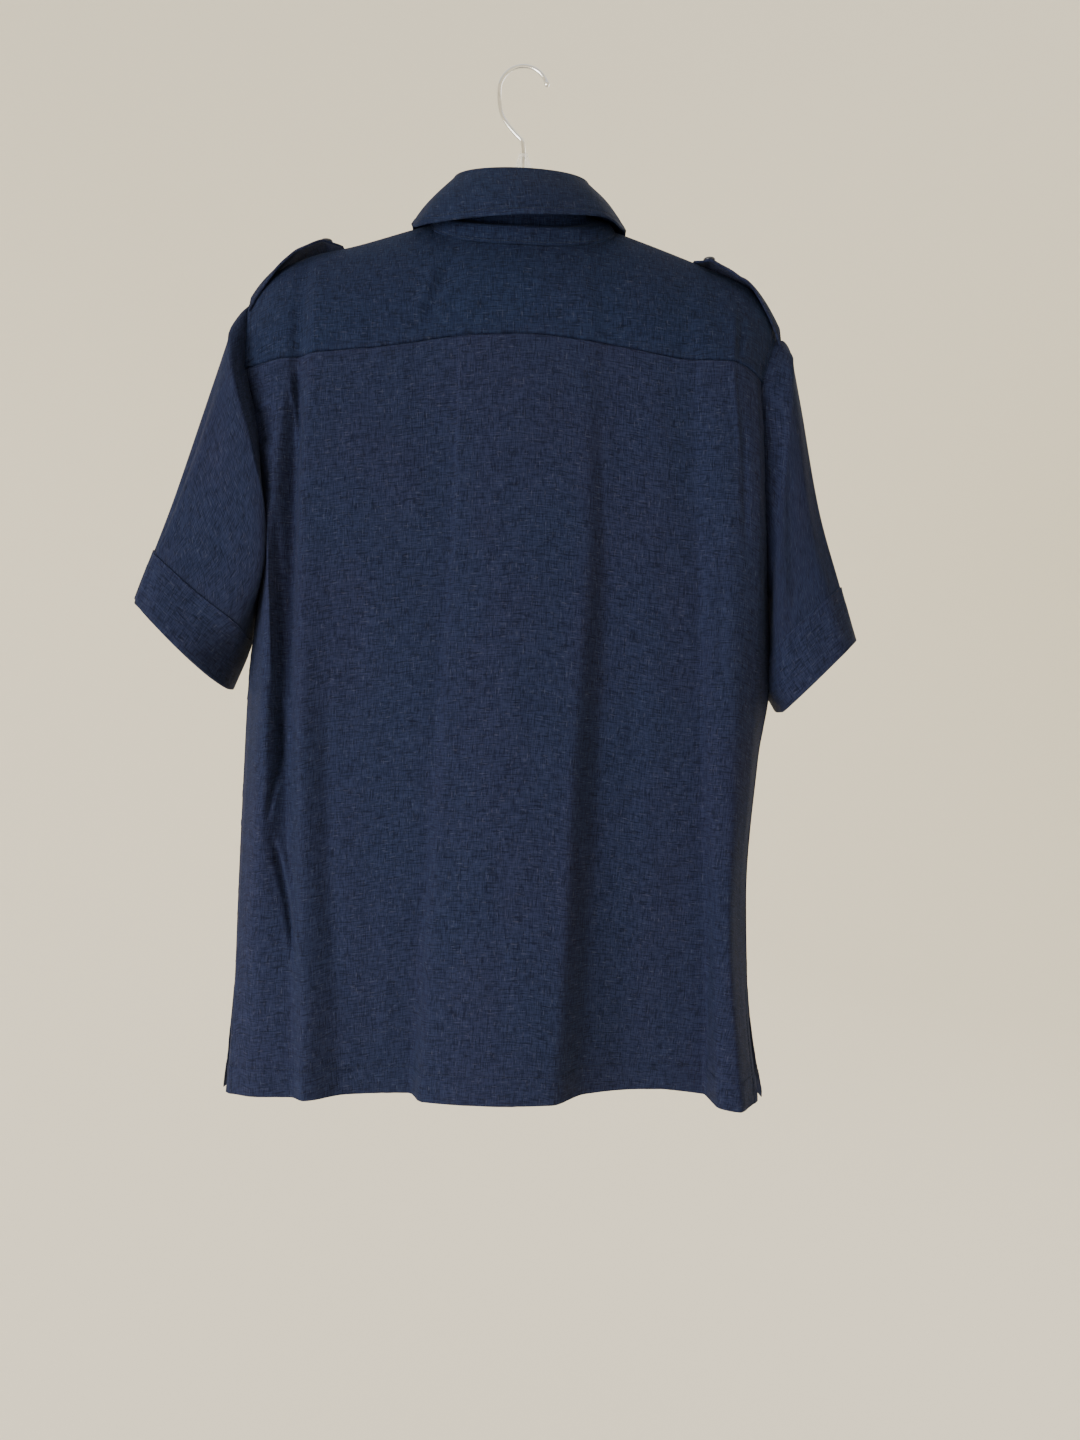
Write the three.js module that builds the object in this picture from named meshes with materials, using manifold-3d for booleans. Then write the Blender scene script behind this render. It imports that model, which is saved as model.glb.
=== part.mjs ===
// Short-sleeved safari shirt hanging on a clear clothes hanger, in millimetres, +Z up.
// The origin is the inside top of the hanger's hook. The front of the shirt faces -Y,
// its back faces +Y, and the wearer's left side is +X.

import * as THREE from 'three';
import { mergeVertices } from 'three/addons/utils/BufferGeometryUtils.js';
import Module from 'manifold-3d';

const wasm = await Module();
wasm.setup();

const { lerp, clamp, smoothstep, degToRad } = THREE.MathUtils;
const LEFT = 1;
const RIGHT = -1;
const BACK = 1;
const FRONT = -1;

// Walls and gaps
const WALL = 1.2;
const DOUBLE_WALL = 2.2;
const SEAM_GAP = 0.3;
const LAID_GAP = 0.4;

// Shoulders: the ridge line that rests on the hanger, leaning down to the wearer's right
const LEAN = 0.0437;
const RIDGE = { top: -125, slope: 0.27, bow: 0.0003 };
const SHOULDER_END = {
  [LEFT]: { bendStart: 225, bend: 0.02, edge: 256 },
  [RIGHT]: { bendStart: 203, bend: 0.025, edge: 241 },
};
// How the cloth rolls from the ridge into the hanging back and front
const ROLL = { height: 95, power: 1.6 };
const SHOULDER_LEVEL = -268;

// Neckline, an oval seen from above, lower at the back and lowest at the front
const NECK = { half: 84, side: -150, backDrop: 30, backPower: 0.8, frontDrop: 95, frontPower: 0.9 };
const NECK_STEP = 15;
const NECK_MARGIN = 4;

// The yoke's back seam, from the wearer's right to the left
const YOKE_SEAM = [
  { x: -240, z: -300 },
  { x: -192, z: -286 },
  { x: -150, z: -284 },
  { x: -78, z: -272 },
  { x: 0, z: -263 },
  { x: 56, z: -264.5 },
  { x: 128, z: -273.5 },
  { x: 190, z: -279 },
  { x: 250, z: -286 },
];
// How far below the ridge the yoke ends at the front
const FORWARD_SEAM_DROP = 18;

// Armhole edge above the armpit and side seam below it, from the hem up
const SIDES = [
  { z: -957, left: 274, right: -217 },
  { z: -889, left: 267, right: -206 },
  { z: -852, left: 263, right: -204 },
  { z: -777, left: 259, right: -203 },
  { z: -646, left: 253, right: -213 },
  { z: -572, left: 250, right: -224 },
  { z: -482, left: 244, right: -227 },
  { z: -430, left: 240, right: -229 },
  { z: -350, left: 240, right: -233 },
  { z: -290, left: 253, right: -238 },
  { z: -226, left: 256, right: -241 },
];
const ARMPIT = { [LEFT]: -475, [RIGHT]: -489 };
const ARMHOLE_HALF = { [LEFT]: 22, [RIGHT]: 18 };
const ARMPIT_ROUND = 75;
const ARMPIT_SPAN = 470;
const SIDE_SEAM_HALF_GAP = 0.6;
const VENT = { top: -858, hem: -956, spread: 6, step: 3 };

// Hem height, a little lower at the wearer's right
const HEM = { z: -954, rightStart: -130, rightSlope: 0.1 };

// Long folds of the back: each runs from the yoke to the hem, with its place across and
// its depth at these heights
const FOLD_HEIGHTS = [-268, -430, -645, -800, -957];
const BACK_FOLDS = [
  { name: 'right side', x: [-228, -216, -207, -197, -208], y: [24, 38, 26, 20, 22] },
  { name: 'right ridge', x: [-181, -184, -186, -184, -194], y: [40, 47, 42, 38, 41] },
  { name: 'right step top', x: [-160, -166, -169, -174, -176], y: [41, 43, 39, 36, 35] },
  { name: 'right step foot', x: [-153, -157, -162, -167, -168], y: [40, 37, 29, 20, 0] },
  { name: 'right hollow', x: [-118, -118, -114, -110, -112], y: [43, 40, 31, 22, -2] },
  { name: 'centre slope foot', x: [-75, -77, -72, -63, -57], y: [44, 40, 31, 27, 11] },
  { name: 'centre slope top', x: [-55, -56, -42, -35, -25], y: [46, 50, 52, 51, 42] },
  { name: 'centre', x: [3, 3, 7, 12, 12], y: [46, 51, 53, 52, 45] },
  { name: 'pressed line top', x: [54, 58, 71, 81, 93], y: [45, 48, 47, 44, 32] },
  { name: 'pressed line foot', x: [58, 65, 81, 93, 106], y: [44, 43, 39, 32, 8] },
  { name: 'left hollow', x: [136, 160, 176, 171, 164], y: [43, 45, 37, 33, 12] },
  { name: 'left bank', x: [184, 184, 196, 196, 197], y: [43, 48, 44, 42, 30] },
  { name: 'left crease', x: [203, 207, 226, 212, 210], y: [33, 28, 20, 30, 22] },
  { name: 'left ridge', x: [211, 221, 240, 236, 235], y: [36, 47, 34, 30, 20] },
  { name: 'left side', x: [250, 236, 249, 255, 268], y: [24, 30, 16, 14, 10] },
];

// The fronts: nearly flat, with soft troughs (depth inward) that run down and outward
const FRONT_DEPTH = 47;
const FRONT_SQUARE = 5;
const FRONT_FOLDS = [
  { top: 208, hem: 238, width: 14, depth: 10, from: -330, to: -990 },
  { top: 136, hem: 158, width: 20, depth: 8, from: -470, to: -990 },
  { top: 58, hem: 78, width: 17, depth: 9, from: -300, to: -990 },
  { top: -52, hem: -48, width: 16, depth: 9, from: -330, to: -990 },
  { top: -140, hem: -120, width: 20, depth: 7, from: -520, to: -990 },
  { top: -192, hem: -180, width: 14, depth: 11, from: -340, to: -990 },
];
const FOLD_FADE = 120;
const FOLD_START = { z: -300, height: 657 };

// Centre front line, the lap of the left front over the right, and the buttons on it
const CENTRE = [
  { z: -957, x: 27 },
  { z: -645, x: 19 },
  { z: -430, x: 6 },
  { z: -245, x: 1 },
];
const LAP = 17.5;
// How far back the right front steps under the left, in laps from the centre line
const UNDERLAP = { depth: 2.6, from: 2.4, to: 1.15 };
const BUTTON = { radius: 5.7, thick: 2.6, rim: 0.9, bevel: 0.6, dish: 0.7, clear: 0.6 };
const BUTTON_ROW = { first: -268, spacing: 96, count: 7 };
const ROUND_SIDES = 12;

// Columns of the fronts, as places across at the top, from the armhole to the centre
const FRONT_COLUMNS = [0, 9, 18, 29, 42, 64, 90, 116, 138, 156];
// Rows of the yoke: over the forward seam as shares of its drop, then down to the back
// seam, closer together near the ridge
const YOKE_ROWS = {
  count: 8,
  front: [1, 0.35],
  spread: 1.7,
  neckSpread: 2.2,
  seamSpread: 1.2,
  neckDrop: 15,
};
// Columns of the yoke at the neck, by the angle of the neckline where each one starts
const NECK_COLUMNS = [
  { angle: 103, seam: 93 },
  { angle: 97, seam: 88 },
  { angle: 90, seam: 84 },
  { angle: 82, seam: 80.5 },
  { angle: 72, seam: 76 },
  { angle: 60, seam: 69 },
  { angle: 45, seam: 57 },
  { angle: 30, seam: 41 },
  { angle: 15, seam: 21 },
];
// Rows of the back beside the armhole, as shares of the way down to the armpit
const ARMHOLE_ROWS = [0, 0.25, 0.48, 0.68, 0.85, 0.95, 1];
// Rows of the fronts: shares of the way down to the top of the pocket flap, then heights
// above the armpit for the flap, the pocket and the flap's lower edge
const FRONT_ROWS_ABOVE = [0, 0.4, 0.75];
const FRONT_ROWS_POCKET = [92, 77, 30, 9, 0];
// Rows below the armpit, as shares of the way down to the hem
const FRONT_ROWS_BELOW = [0.07, 0.14, 0.25, 0.4, 0.55, 0.7, 0.85, 1];
const BACK_ROWS_BELOW = [0.09, 0.2, 0.32, 0.44, 0.56, 0.68, 0.8, 0.9, 1];

// Sleeves: rings from the armhole to the cuff, through an outer and an inner point,
// with the depth of the back and front sides
const SLEEVES = {
  [LEFT]: [
    { s: 0.12, outX: 272, outZ: -250, inX: 247, inZ: -484, back: 52, front: 45 },
    { s: 0.5, outX: 318, outZ: -380, inX: 254, inZ: -530, back: 55, front: 50 },
    { s: 1, outX: 362, outZ: -504, inX: 270, inZ: -580, back: 68, front: 60 },
  ],
  [RIGHT]: [
    { s: 0.12, outX: -249, outZ: -272, inX: -230, inZ: -498, back: 30, front: 52 },
    { s: 0.5, outX: -272, outZ: -404, inX: -231, inZ: -545, back: 30, front: 66 },
    { s: 1, outX: -308, outZ: -541, inX: -237, inZ: -594, back: 42, front: 82 },
  ],
};
const SLEEVE_ROUND = 0.83;
// Length of sleeve between the armhole and the first ring
const ARMHOLE_TO_RING = 20;
const SLEEVE_START = 1;
const SLEEVE_ROWS = [0, 0.06, 0.14, 0.26, 0.5, 0.75, 1];
const CUFF = { height: 56, rows: 3, below: 1.5 };

// Collar: the fold along its top and the lower edge of the fall, by angle from the back
const STAND_ROWS = 3;
const COLLAR_FRONT = 172;
const FALL_ROWS = 5;
const FALL_BULGE = 3.5;
const COLLAR_LIP = 5;
// Where the fall's inner row and its crest lie outward of the fold
const LIP_OUT = 0.2;
const CREST = { walls: 0.7, up: 1 };
const COLLAR_FOLD = {
  halfX: 60,
  x: 2,
  backY: 42,
  frontY: 45,
  sideZ: -110,
  backDrop: 6.5,
  frontDrop: 95,
  power: 0.8,
};
const FALL_EDGE = [
  { angle: -172, x: -56, y: -58, z: -272 },
  { angle: -130, x: -92, y: -44, z: -204 },
  { angle: -90, x: -96, y: 0, z: -153 },
  { angle: -66, x: -89, y: 22, z: -158 },
  { angle: -42, x: -74, y: 46, z: -160 },
  { angle: 0, x: -4, y: 68, z: -167 },
  { angle: 42, x: 74, y: 44, z: -163 },
  { angle: 66, x: 97, y: 28, z: -160 },
  { angle: 90, x: 104, y: 0, z: -147 },
  { angle: 130, x: 98, y: -44, z: -195 },
  { angle: 172, x: 58, y: -58, z: -268 },
];

// Epaulettes: height of the strap above the ridge from the armhole to the pointed tip
const EPAULETTES = {
  [LEFT]: [
    { x: 254, lift: 4.8 },
    { x: 236, lift: 3.8 },
    { x: 218, lift: 10 },
    { x: 208, lift: 14.5 },
    { x: 188, lift: 16.5 },
    { x: 178, lift: 12 },
    { x: 168, lift: 5.5 },
  ],
  [RIGHT]: [
    { x: -239, lift: 6.4 },
    { x: -221, lift: 4.6 },
    { x: -202, lift: 5.4 },
    { x: -185, lift: 8.8 },
    { x: -175, lift: 8.4 },
    { x: -167, lift: 5.6 },
    { x: -159, lift: 4.4 },
  ],
};
const STRAP = { baseHalf: 12, half: 20, tipHalf: 5, crown: 0.01, wall: 2 };
// Where along it the strap comes free of the shoulder, and where its point starts
const STRAP_ALONG = { freeFrom: 0.05, freeTo: 0.45, tipFrom: 0.8 };
const STRAP_STEPS = 12;

// Chest pockets with flaps, placed on the columns and rows of each front
const POCKET = {
  firstColumn: 5,
  lastColumn: { [LEFT]: 13, [RIGHT]: 12 },
  top: 4,
  bottom: 9,
  flapTop: 3,
  flapBottom: 5,
};

// Hanger and hook
const HOOK = { radius: 1.8, arc: 22.5, tipAngle: 166, arcStep: 12, sides: 8, steps: 40, end: -95 };
// The wire's rounded tip: how far along the wire, how far ahead of it, and how thick
const HOOK_TIP = [
  { along: 0, ahead: -2.4, thick: 0.35 },
  { along: 0, ahead: -1.5, thick: 1.1 },
  { along: 0, ahead: 0, thick: 1.35 },
  { along: 0.015, ahead: 0, thick: 1.2 },
];
const HOOK_SHANK = [
  { x: 22.4, z: -32.7 },
  { x: 20.1, z: -43.5 },
  { x: 14.7, z: -52.9 },
  { x: 7, z: -62.1 },
  { x: 1.5, z: -68.2 },
  { x: 0, z: -76 },
  { x: 0, z: -85 },
];
const HANGER = { thick: 6, depth: 12, half: 214, tipDrop: 8, clearance: 4.4, bore: 2.15, boreDepth: 20 };
const HANGER_ARM = [
  { x: 84, dip: 2.6 },
  { x: 110, dip: 0 },
  { x: 140, dip: 0 },
  { x: 170, dip: 0 },
  { x: 195, dip: 0 },
  { x: 206, dip: 0 },
];
const HANGER_CROTCH = { x: 14, z: -140 };
const HANGER_NECK = [
  { x: 3.8, z: -80, lean: 0 },
  { x: 7.5, z: -92, lean: 0 },
  { x: 16, z: -104, lean: 0 },
  { x: 40, z: -124, lean: 1 },
  { x: 64, z: -140, lean: 1 },
];

// Materials
const cloth = (name) => ({ name, color: 0x262d42, roughness: 0.9, metalness: 0 });
const FINISH = {
  cloth: cloth('navy chambray'),
  button: { name: 'navy resin', color: 0x1c2233, roughness: 0.35, metalness: 0 },
  plastic: { name: 'clear plastic', color: 0xd7dad6, roughness: 0.1, metalness: 0 },
  steel: { name: 'polished steel', color: 0xc9cacc, roughness: 0.15, metalness: 1 },
};

const shirt = new THREE.Group();
const point = (x, y, z) => new THREE.Vector3(x, y, z);
const signedPower = (value, power) => Math.sign(value) * Math.abs(value) ** power;

function add(name, geometry, finish) {
  const { name: finishName, ...look } = finish;
  const mesh = new THREE.Mesh(geometry, new THREE.MeshStandardMaterial(look));
  mesh.name = name;
  mesh.material.name = finishName;
  shirt.add(mesh);
  return mesh;
}

// Smooth curve through a table's rows that never swings past its values. Rows rise along
// the column `along`, and the column `what` is read.
function through(rows, along, what, at) {
  const last = rows.length - 1;
  if (at <= rows[0][along]) return rows[0][what];
  if (at >= rows[last][along]) return rows[last][what];
  let i = 0;
  while (rows[i + 1][along] < at) i += 1;
  const span = (k) => rows[k + 1][along] - rows[k][along];
  const slope = (k) => (rows[k + 1][what] - rows[k][what]) / span(k);
  const tangent = (k) => {
    if (k === 0) return slope(0);
    if (k === last) return slope(last - 1);
    const before = slope(k - 1);
    const after = slope(k);
    return before * after <= 0 ? 0 : (2 * before * after) / (before + after);
  };
  const h = span(i);
  const t = (at - rows[i][along]) / h;
  const rise = 3 * t * t - 2 * t * t * t;
  const start = (t - 2 * t * t + t * t * t) * h * tangent(i);
  const end = (t * t * t - t * t) * h * tangent(i + 1);
  return lerp(rows[i][what], rows[i + 1][what], rise) + start + end;
}

// Form of the body

function ridge(x) {
  const end = SHOULDER_END[x < 0 ? RIGHT : LEFT];
  const beyond = Math.max(0, Math.abs(x) - end.bendStart);
  const line = RIDGE.top - RIDGE.slope * Math.abs(x) - RIDGE.bow * x * x + LEAN * x;
  return line - end.bend * beyond * beyond;
}

function roll(x, z) {
  const below = clamp((ridge(x) - z) / ROLL.height, 0, 1);
  return (1 - (1 - below) ** ROLL.power) ** (1 / ROLL.power);
}

// Drop below the ridge where the rolled cloth is a given share of its full depth out
function rollDrop(share) {
  return ROLL.height * (1 - (1 - Math.min(1, share) ** ROLL.power) ** (1 / ROLL.power));
}

function vent(z) {
  return clamp((VENT.top - z) / (VENT.top - VENT.hem), 0, 1);
}

function edgeX(side, face, z) {
  return through(SIDES, 'z', side === LEFT ? 'left' : 'right', z) - side * face * VENT.step * vent(z);
}

function edgeY(side, z) {
  const closing = clamp((ARMPIT[side] + ARMPIT_ROUND - z) / ARMPIT_ROUND, 0, 1);
  return ARMHOLE_HALF[side] * Math.sqrt(1 - closing * closing) + SIDE_SEAM_HALF_GAP + VENT.spread * vent(z);
}

function foldRow(fold, z) {
  const levels = FOLD_HEIGHTS.map((height, i) => ({ height, x: fold.x[i], y: fold.y[i] })).reverse();
  return { x: through(levels, 'height', 'x', z), y: through(levels, 'height', 'y', z) };
}

// The back's fold rows at one height, between its two edges
function backSection(z) {
  const rows = BACK_FOLDS.map((fold) => foldRow(fold, z));
  const edge = (side) => ({ x: edgeX(side, BACK, z), y: edgeY(side, z) });
  return [edge(RIGHT), ...rows, edge(LEFT)];
}

function backFull(x, z) {
  return through(backSection(z), 'x', 'y', x);
}

function backDepth(x, z) {
  return backFull(x, z) * roll(x, z);
}

function centreX(z) {
  return through(CENTRE, 'z', 'x', z);
}

function frontFull(x, z) {
  const left = edgeX(LEFT, FRONT, z);
  const right = edgeX(RIGHT, FRONT, z);
  const across = clamp((2 * x - left - right) / (left - right), -1, 1);
  const edge = edgeY(across > 0 ? LEFT : RIGHT, z);
  const round = (1 - Math.abs(across) ** FRONT_SQUARE) ** (1 / FRONT_SQUARE);
  let depth = lerp(edge, FRONT_DEPTH, round);
  for (const fold of FRONT_FOLDS) {
    const place = lerp(fold.top, fold.hem, clamp((FOLD_START.z - z) / FOLD_START.height, 0, 1));
    const fade = smoothstep(fold.from - z, 0, FOLD_FADE) * smoothstep(z - fold.to, 0, FOLD_FADE);
    const distance = (x - place) / fold.width;
    depth -= fold.depth * Math.exp(-distance * distance) * fade * (1 - across ** 4);
  }
  return depth;
}

function frontDepth(x, z) {
  return -frontFull(x, z) * roll(x, z);
}

function yokeSeam(x) {
  return through(YOKE_SEAM, 'x', 'z', x);
}

function hem(x) {
  return HEM.z + HEM.rightSlope * Math.min(0, x - HEM.rightStart);
}

function armpitLine(x) {
  const share = clamp((x - edgeX(RIGHT, BACK, ARMPIT[RIGHT])) / ARMPIT_SPAN, 0, 1);
  return lerp(ARMPIT[RIGHT], ARMPIT[LEFT], share);
}

function neckHeight(angle) {
  const forward = Math.abs(angle) > 90;
  const drop = forward ? NECK.frontDrop : NECK.backDrop;
  const power = forward ? NECK.frontPower : NECK.backPower;
  const turn = degToRad(angle);
  return NECK.side + LEAN * NECK.half * Math.sin(turn) - drop * Math.abs(Math.cos(turn)) ** power;
}

function neckPoint(angle) {
  const x = NECK.half * Math.sin(degToRad(angle));
  const z = neckHeight(angle);
  const y = Math.abs(angle) > 90 ? frontDepth(x, z) : backDepth(x, z);
  return point(x, y, z);
}

// Walls made from a grid of outside points

function gridNormals(grid, closed) {
  const columns = grid.length;
  const rows = grid[0].length;
  const across = new THREE.Vector3();
  const down = new THREE.Vector3();
  return grid.map((column, i) => column.map((_, j) => {
    const before = closed ? (i + columns - 1) % columns : Math.max(0, i - 1);
    const after = closed ? (i + 1) % columns : Math.min(columns - 1, i + 1);
    across.subVectors(grid[after][j], grid[before][j]).normalize();
    down.subVectors(grid[i][Math.min(rows - 1, j + 1)], grid[i][Math.max(0, j - 1)]).normalize();
    return new THREE.Vector3().crossVectors(across, down).normalize();
  }));
}

// Moves a grid's points along its normals; a positive distance is outward
function moved(grid, distance, { closed = false, turn = 1 } = {}) {
  const normals = gridNormals(grid, closed);
  const move = (p, normal) => p.clone().addScaledVector(normal, turn * distance);
  return grid.map((column, i) => column.map((p, j) => move(p, normals[i][j])));
}

function signedVolume(positions, indices) {
  const [a, b, c] = [new THREE.Vector3(), new THREE.Vector3(), new THREE.Vector3()];
  let volume = 0;
  for (let i = 0; i < indices.length; i += 3) {
    a.fromArray(positions, indices[i] * 3);
    b.fromArray(positions, indices[i + 1] * 3);
    c.fromArray(positions, indices[i + 2] * 3);
    volume += a.dot(b.cross(c)) / 6;
  }
  return volume;
}

// Closed solid between an outer and an inner grid of the same size
function solidBetween(outer, inner, closed = false) {
  const columns = outer.length;
  const rows = outer[0].length;
  const positions = [...outer.flat(), ...inner.flat()].flatMap((p) => p.toArray());
  const indices = [];
  const at = (i, j, layer) => layer * columns * rows + (i % columns) * rows + j;
  const quad = (a, b, c, d) => indices.push(a, b, c, a, c, d);
  for (let i = 0; i < (closed ? columns : columns - 1); i += 1) {
    for (let j = 0; j < rows - 1; j += 1) {
      quad(at(i, j, 0), at(i, j + 1, 0), at(i + 1, j + 1, 0), at(i + 1, j, 0));
      quad(at(i, j, 1), at(i + 1, j, 1), at(i + 1, j + 1, 1), at(i, j + 1, 1));
    }
    quad(at(i, 0, 0), at(i + 1, 0, 0), at(i + 1, 0, 1), at(i, 0, 1));
    quad(at(i, rows - 1, 0), at(i, rows - 1, 1), at(i + 1, rows - 1, 1), at(i + 1, rows - 1, 0));
  }
  const end = columns - 1;
  for (let j = 0; j < rows - 1 && !closed; j += 1) {
    quad(at(0, j, 0), at(0, j, 1), at(0, j + 1, 1), at(0, j + 1, 0));
    quad(at(end, j, 0), at(end, j + 1, 0), at(end, j + 1, 1), at(end, j, 1));
  }
  if (signedVolume(positions, indices) < 0) indices.reverse();
  const geometry = new THREE.BufferGeometry();
  geometry.setAttribute('position', new THREE.Float32BufferAttribute(positions, 3));
  geometry.setIndex(indices);
  geometry.computeVertexNormals();
  return geometry;
}

// Cloth whose outside lies on the grid, or that far out from it
function clothWall(grid, { wall = WALL, lift = 0, closed = false, turn = 1 } = {}) {
  const outer = moved(grid, lift, { closed, turn });
  const inner = moved(grid, lift - wall, { closed, turn });
  return solidBetween(outer, inner, closed);
}

// Back, fronts and yoke

function panelColumn(placeAt, depthAt, heightsAbove, below) {
  const pit = armpitLine(placeAt(ARMPIT[LEFT]));
  const foot = hem(placeAt(HEM.z));
  const heights = [...heightsAbove(pit), ...below.map((share) => lerp(pit, foot, share))];
  return heights.map((z) => point(placeAt(z), depthAt(placeAt(z), z), z));
}

function backGrid() {
  const grid = [];
  const gaps = BACK_FOLDS.length + 1;
  for (let half = 0; half <= gaps * 2; half += 1) {
    const placeAt = (z) => {
      const section = backSection(z);
      const i = Math.min(gaps - 1, Math.floor(half / 2));
      return lerp(section[i].x, section[i + 1].x, half / 2 - i);
    };
    const top = yokeSeam(placeAt(SHOULDER_LEVEL)) - 2 * SEAM_GAP;
    const heightsAbove = (pit) => ARMHOLE_ROWS.map((share) => lerp(top, pit, share));
    grid.push(panelColumn(placeAt, backDepth, heightsAbove, BACK_ROWS_BELOW));
  }
  return grid;
}

// Heights where each front starts: the forward seam, or the neckline inside the collar
function frontTop(x) {
  const seam = ridge(x) - FORWARD_SEAM_DROP;
  if (Math.abs(x) >= NECK.half) return seam - 2 * SEAM_GAP;
  const angle = 180 - Math.abs(THREE.MathUtils.radToDeg(Math.asin(x / NECK.half)));
  return Math.min(seam, neckHeight(x < 0 ? -angle : angle)) - 2 * SEAM_GAP;
}

function frontGrid(side) {
  const edgeTop = side * SHOULDER_END[side].edge;
  const outside = FRONT_COLUMNS.map((inset) => edgeTop - side * inset);
  const inside = [];
  for (let angle = 90; angle >= 0; angle -= NECK_STEP) {
    inside.push(side * NECK.half * Math.sin(degToRad(angle)));
  }
  const end = centreX(-245) - side * LAP;
  const tops = [...outside.filter((x) => side * x > NECK.half + NECK_MARGIN), ...inside, end];
  return tops.map((top) => {
    const share = (top - edgeTop) / (end - edgeTop);
    const placeAt = (z) => lerp(edgeX(side, FRONT, z), centreX(z) - side * LAP, share);
    const depthAt = (x, z) => {
      if (side === LEFT) return frontDepth(x, z);
      const under = smoothstep(x, centreX(z) - UNDERLAP.from * LAP, centreX(z) - UNDERLAP.to * LAP);
      return frontDepth(x, z) + UNDERLAP.depth * under;
    };
    const heightsAbove = (pit) => [
      ...FRONT_ROWS_ABOVE.map((share) => lerp(frontTop(top), pit + FRONT_ROWS_POCKET[0], share)),
      ...FRONT_ROWS_POCKET.map((above) => pit + above),
    ];
    return panelColumn(placeAt, depthAt, heightsAbove, FRONT_ROWS_BELOW);
  });
}

// One column of the yoke, from a drop below the ridge (negative at the front) over the
// ridge and down to the back seam
function yokeColumn(topX, seamX, start) {
  const { count, front, spread, neckSpread, seamSpread, neckDrop } = YOKE_ROWS;
  const power = start < 0 ? spread : lerp(neckSpread, seamSpread, clamp(start / neckDrop, 0, 1));
  return Array.from({ length: count + 1 }, (_, j) => {
    const first = start < 0 ? front.length : 0;
    const down = Math.max(0, (j - first) / (count - first)) ** power;
    const x = lerp(topX, seamX, smoothstep(j, 0, count - 2));
    const full = ridge(x) - yokeSeam(x);
    const drop = j < first ? start * front[j] : lerp(Math.max(0, start), full, down);
    const z = ridge(x) - Math.abs(drop);
    return point(x, drop < 0 ? frontDepth(x, z) : backDepth(x, z), z);
  });
}

// Columns from the wearer's right armhole to the left; inside the neck they start at the
// neckline, which crosses from the forward seam to the back over the ridge
function yokeGrid() {
  const columns = [];
  for (const side of [RIGHT, LEFT]) {
    for (const inset of FRONT_COLUMNS) {
      const x = side * (SHOULDER_END[side].edge - inset);
      if (side * x > NECK.half + NECK_MARGIN) columns.push({ top: x, seam: x, start: -FORWARD_SEAM_DROP });
    }
    for (const { angle, seam } of NECK_COLUMNS) {
      const top = side * NECK.half * Math.sin(degToRad(angle));
      const below = ridge(top) - neckHeight(side * angle);
      const start = angle > 90 ? -Math.min(below, FORWARD_SEAM_DROP) : below;
      columns.push({ top, seam: side * seam, start });
    }
  }
  columns.push({ top: 0, seam: 0, start: ridge(0) - neckHeight(0) });
  columns.sort((a, b) => a.seam - b.seam);
  return columns.map(({ top, seam, start }) => yokeColumn(top, seam, start));
}

// Sleeves and cuffs

function sleeveRing(side, s, turn) {
  const rows = SLEEVES[side];
  const read = (what) => through(rows, 's', what, s);
  const long = signedPower(Math.cos(turn), SLEEVE_ROUND);
  const deep = signedPower(Math.sin(turn), SLEEVE_ROUND);
  const depth = deep > 0 ? read('back') : read('front');
  return point(
    lerp(read('inX'), read('outX'), (1 + long) / 2),
    depth * deep,
    lerp(read('inZ'), read('outZ'), (1 + long) / 2),
  );
}

// The armhole's points in order: over the yoke's end, down the back, up the front
function armholePoints(side, yoke, back, front) {
  const last = (grid) => grid[side === LEFT ? grid.length - 1 : 0];
  const down = last(back).slice(0, ARMHOLE_ROWS.length - 1);
  const bottom = last(back)[ARMHOLE_ROWS.length - 1].clone().setY(0);
  const up = front[0].slice(0, FRONT_ROWS_ABOVE.length + FRONT_ROWS_POCKET.length - 1).reverse();
  return [...last(yoke), ...down, bottom, ...up];
}

function sleeveGrid(side, armhole) {
  const first = SLEEVES[side][0].s;
  const crown = Math.max(...armhole.map((p) => p.z));
  const pit = Math.min(...armhole.map((p) => p.z));
  return armhole.map((p) => {
    const height = clamp((2 * p.z - crown - pit) / (crown - pit), -1, 1);
    const turn = Math.acos(height) * (p.y < 0 ? -1 : 1);
    const start = p.clone().setX(p.x + side * SLEEVE_START);
    const length = sleeveRing(side, first, turn).distanceTo(sleeveRing(side, 1, turn));
    const cuffTop = 1 - CUFF.height / (length + ARMHOLE_TO_RING);
    const shares = SLEEVE_ROWS.map((share) => share * cuffTop);
    for (let j = 1; j <= CUFF.rows; j += 1) shares.push(lerp(cuffTop, 1, j / CUFF.rows));
    return shares.map((s) => {
      const ring = sleeveRing(side, Math.max(s, first), turn);
      return start.clone().lerp(ring, smoothstep(s, 0, first));
    });
  });
}

function cuffGrid(sleeve) {
  return sleeve.map((column) => {
    const band = column.slice(-1 - CUFF.rows);
    const [above, end] = band.slice(-2);
    const below = end.clone().addScaledVector(end.clone().sub(above).normalize(), CUFF.below);
    return [...band.slice(0, -1), below];
  });
}

// Collar

function collarFold(angle) {
  const turn = degToRad(angle);
  const deep = signedPower(Math.cos(turn), COLLAR_FOLD.power);
  const forward = deep < 0;
  const x = COLLAR_FOLD.x + COLLAR_FOLD.halfX * Math.sin(turn);
  const y = deep * (forward ? COLLAR_FOLD.frontY : COLLAR_FOLD.backY);
  const drop = forward ? COLLAR_FOLD.frontDrop : COLLAR_FOLD.backDrop;
  return point(x, y, COLLAR_FOLD.sideZ + LEAN * x - drop * Math.abs(Math.cos(turn)));
}

function collarAngles() {
  const angles = [];
  for (let angle = NECK_STEP - 180; angle < 180; angle += NECK_STEP) angles.push(angle);
  return [-COLLAR_FRONT, ...angles, COLLAR_FRONT];
}

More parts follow.
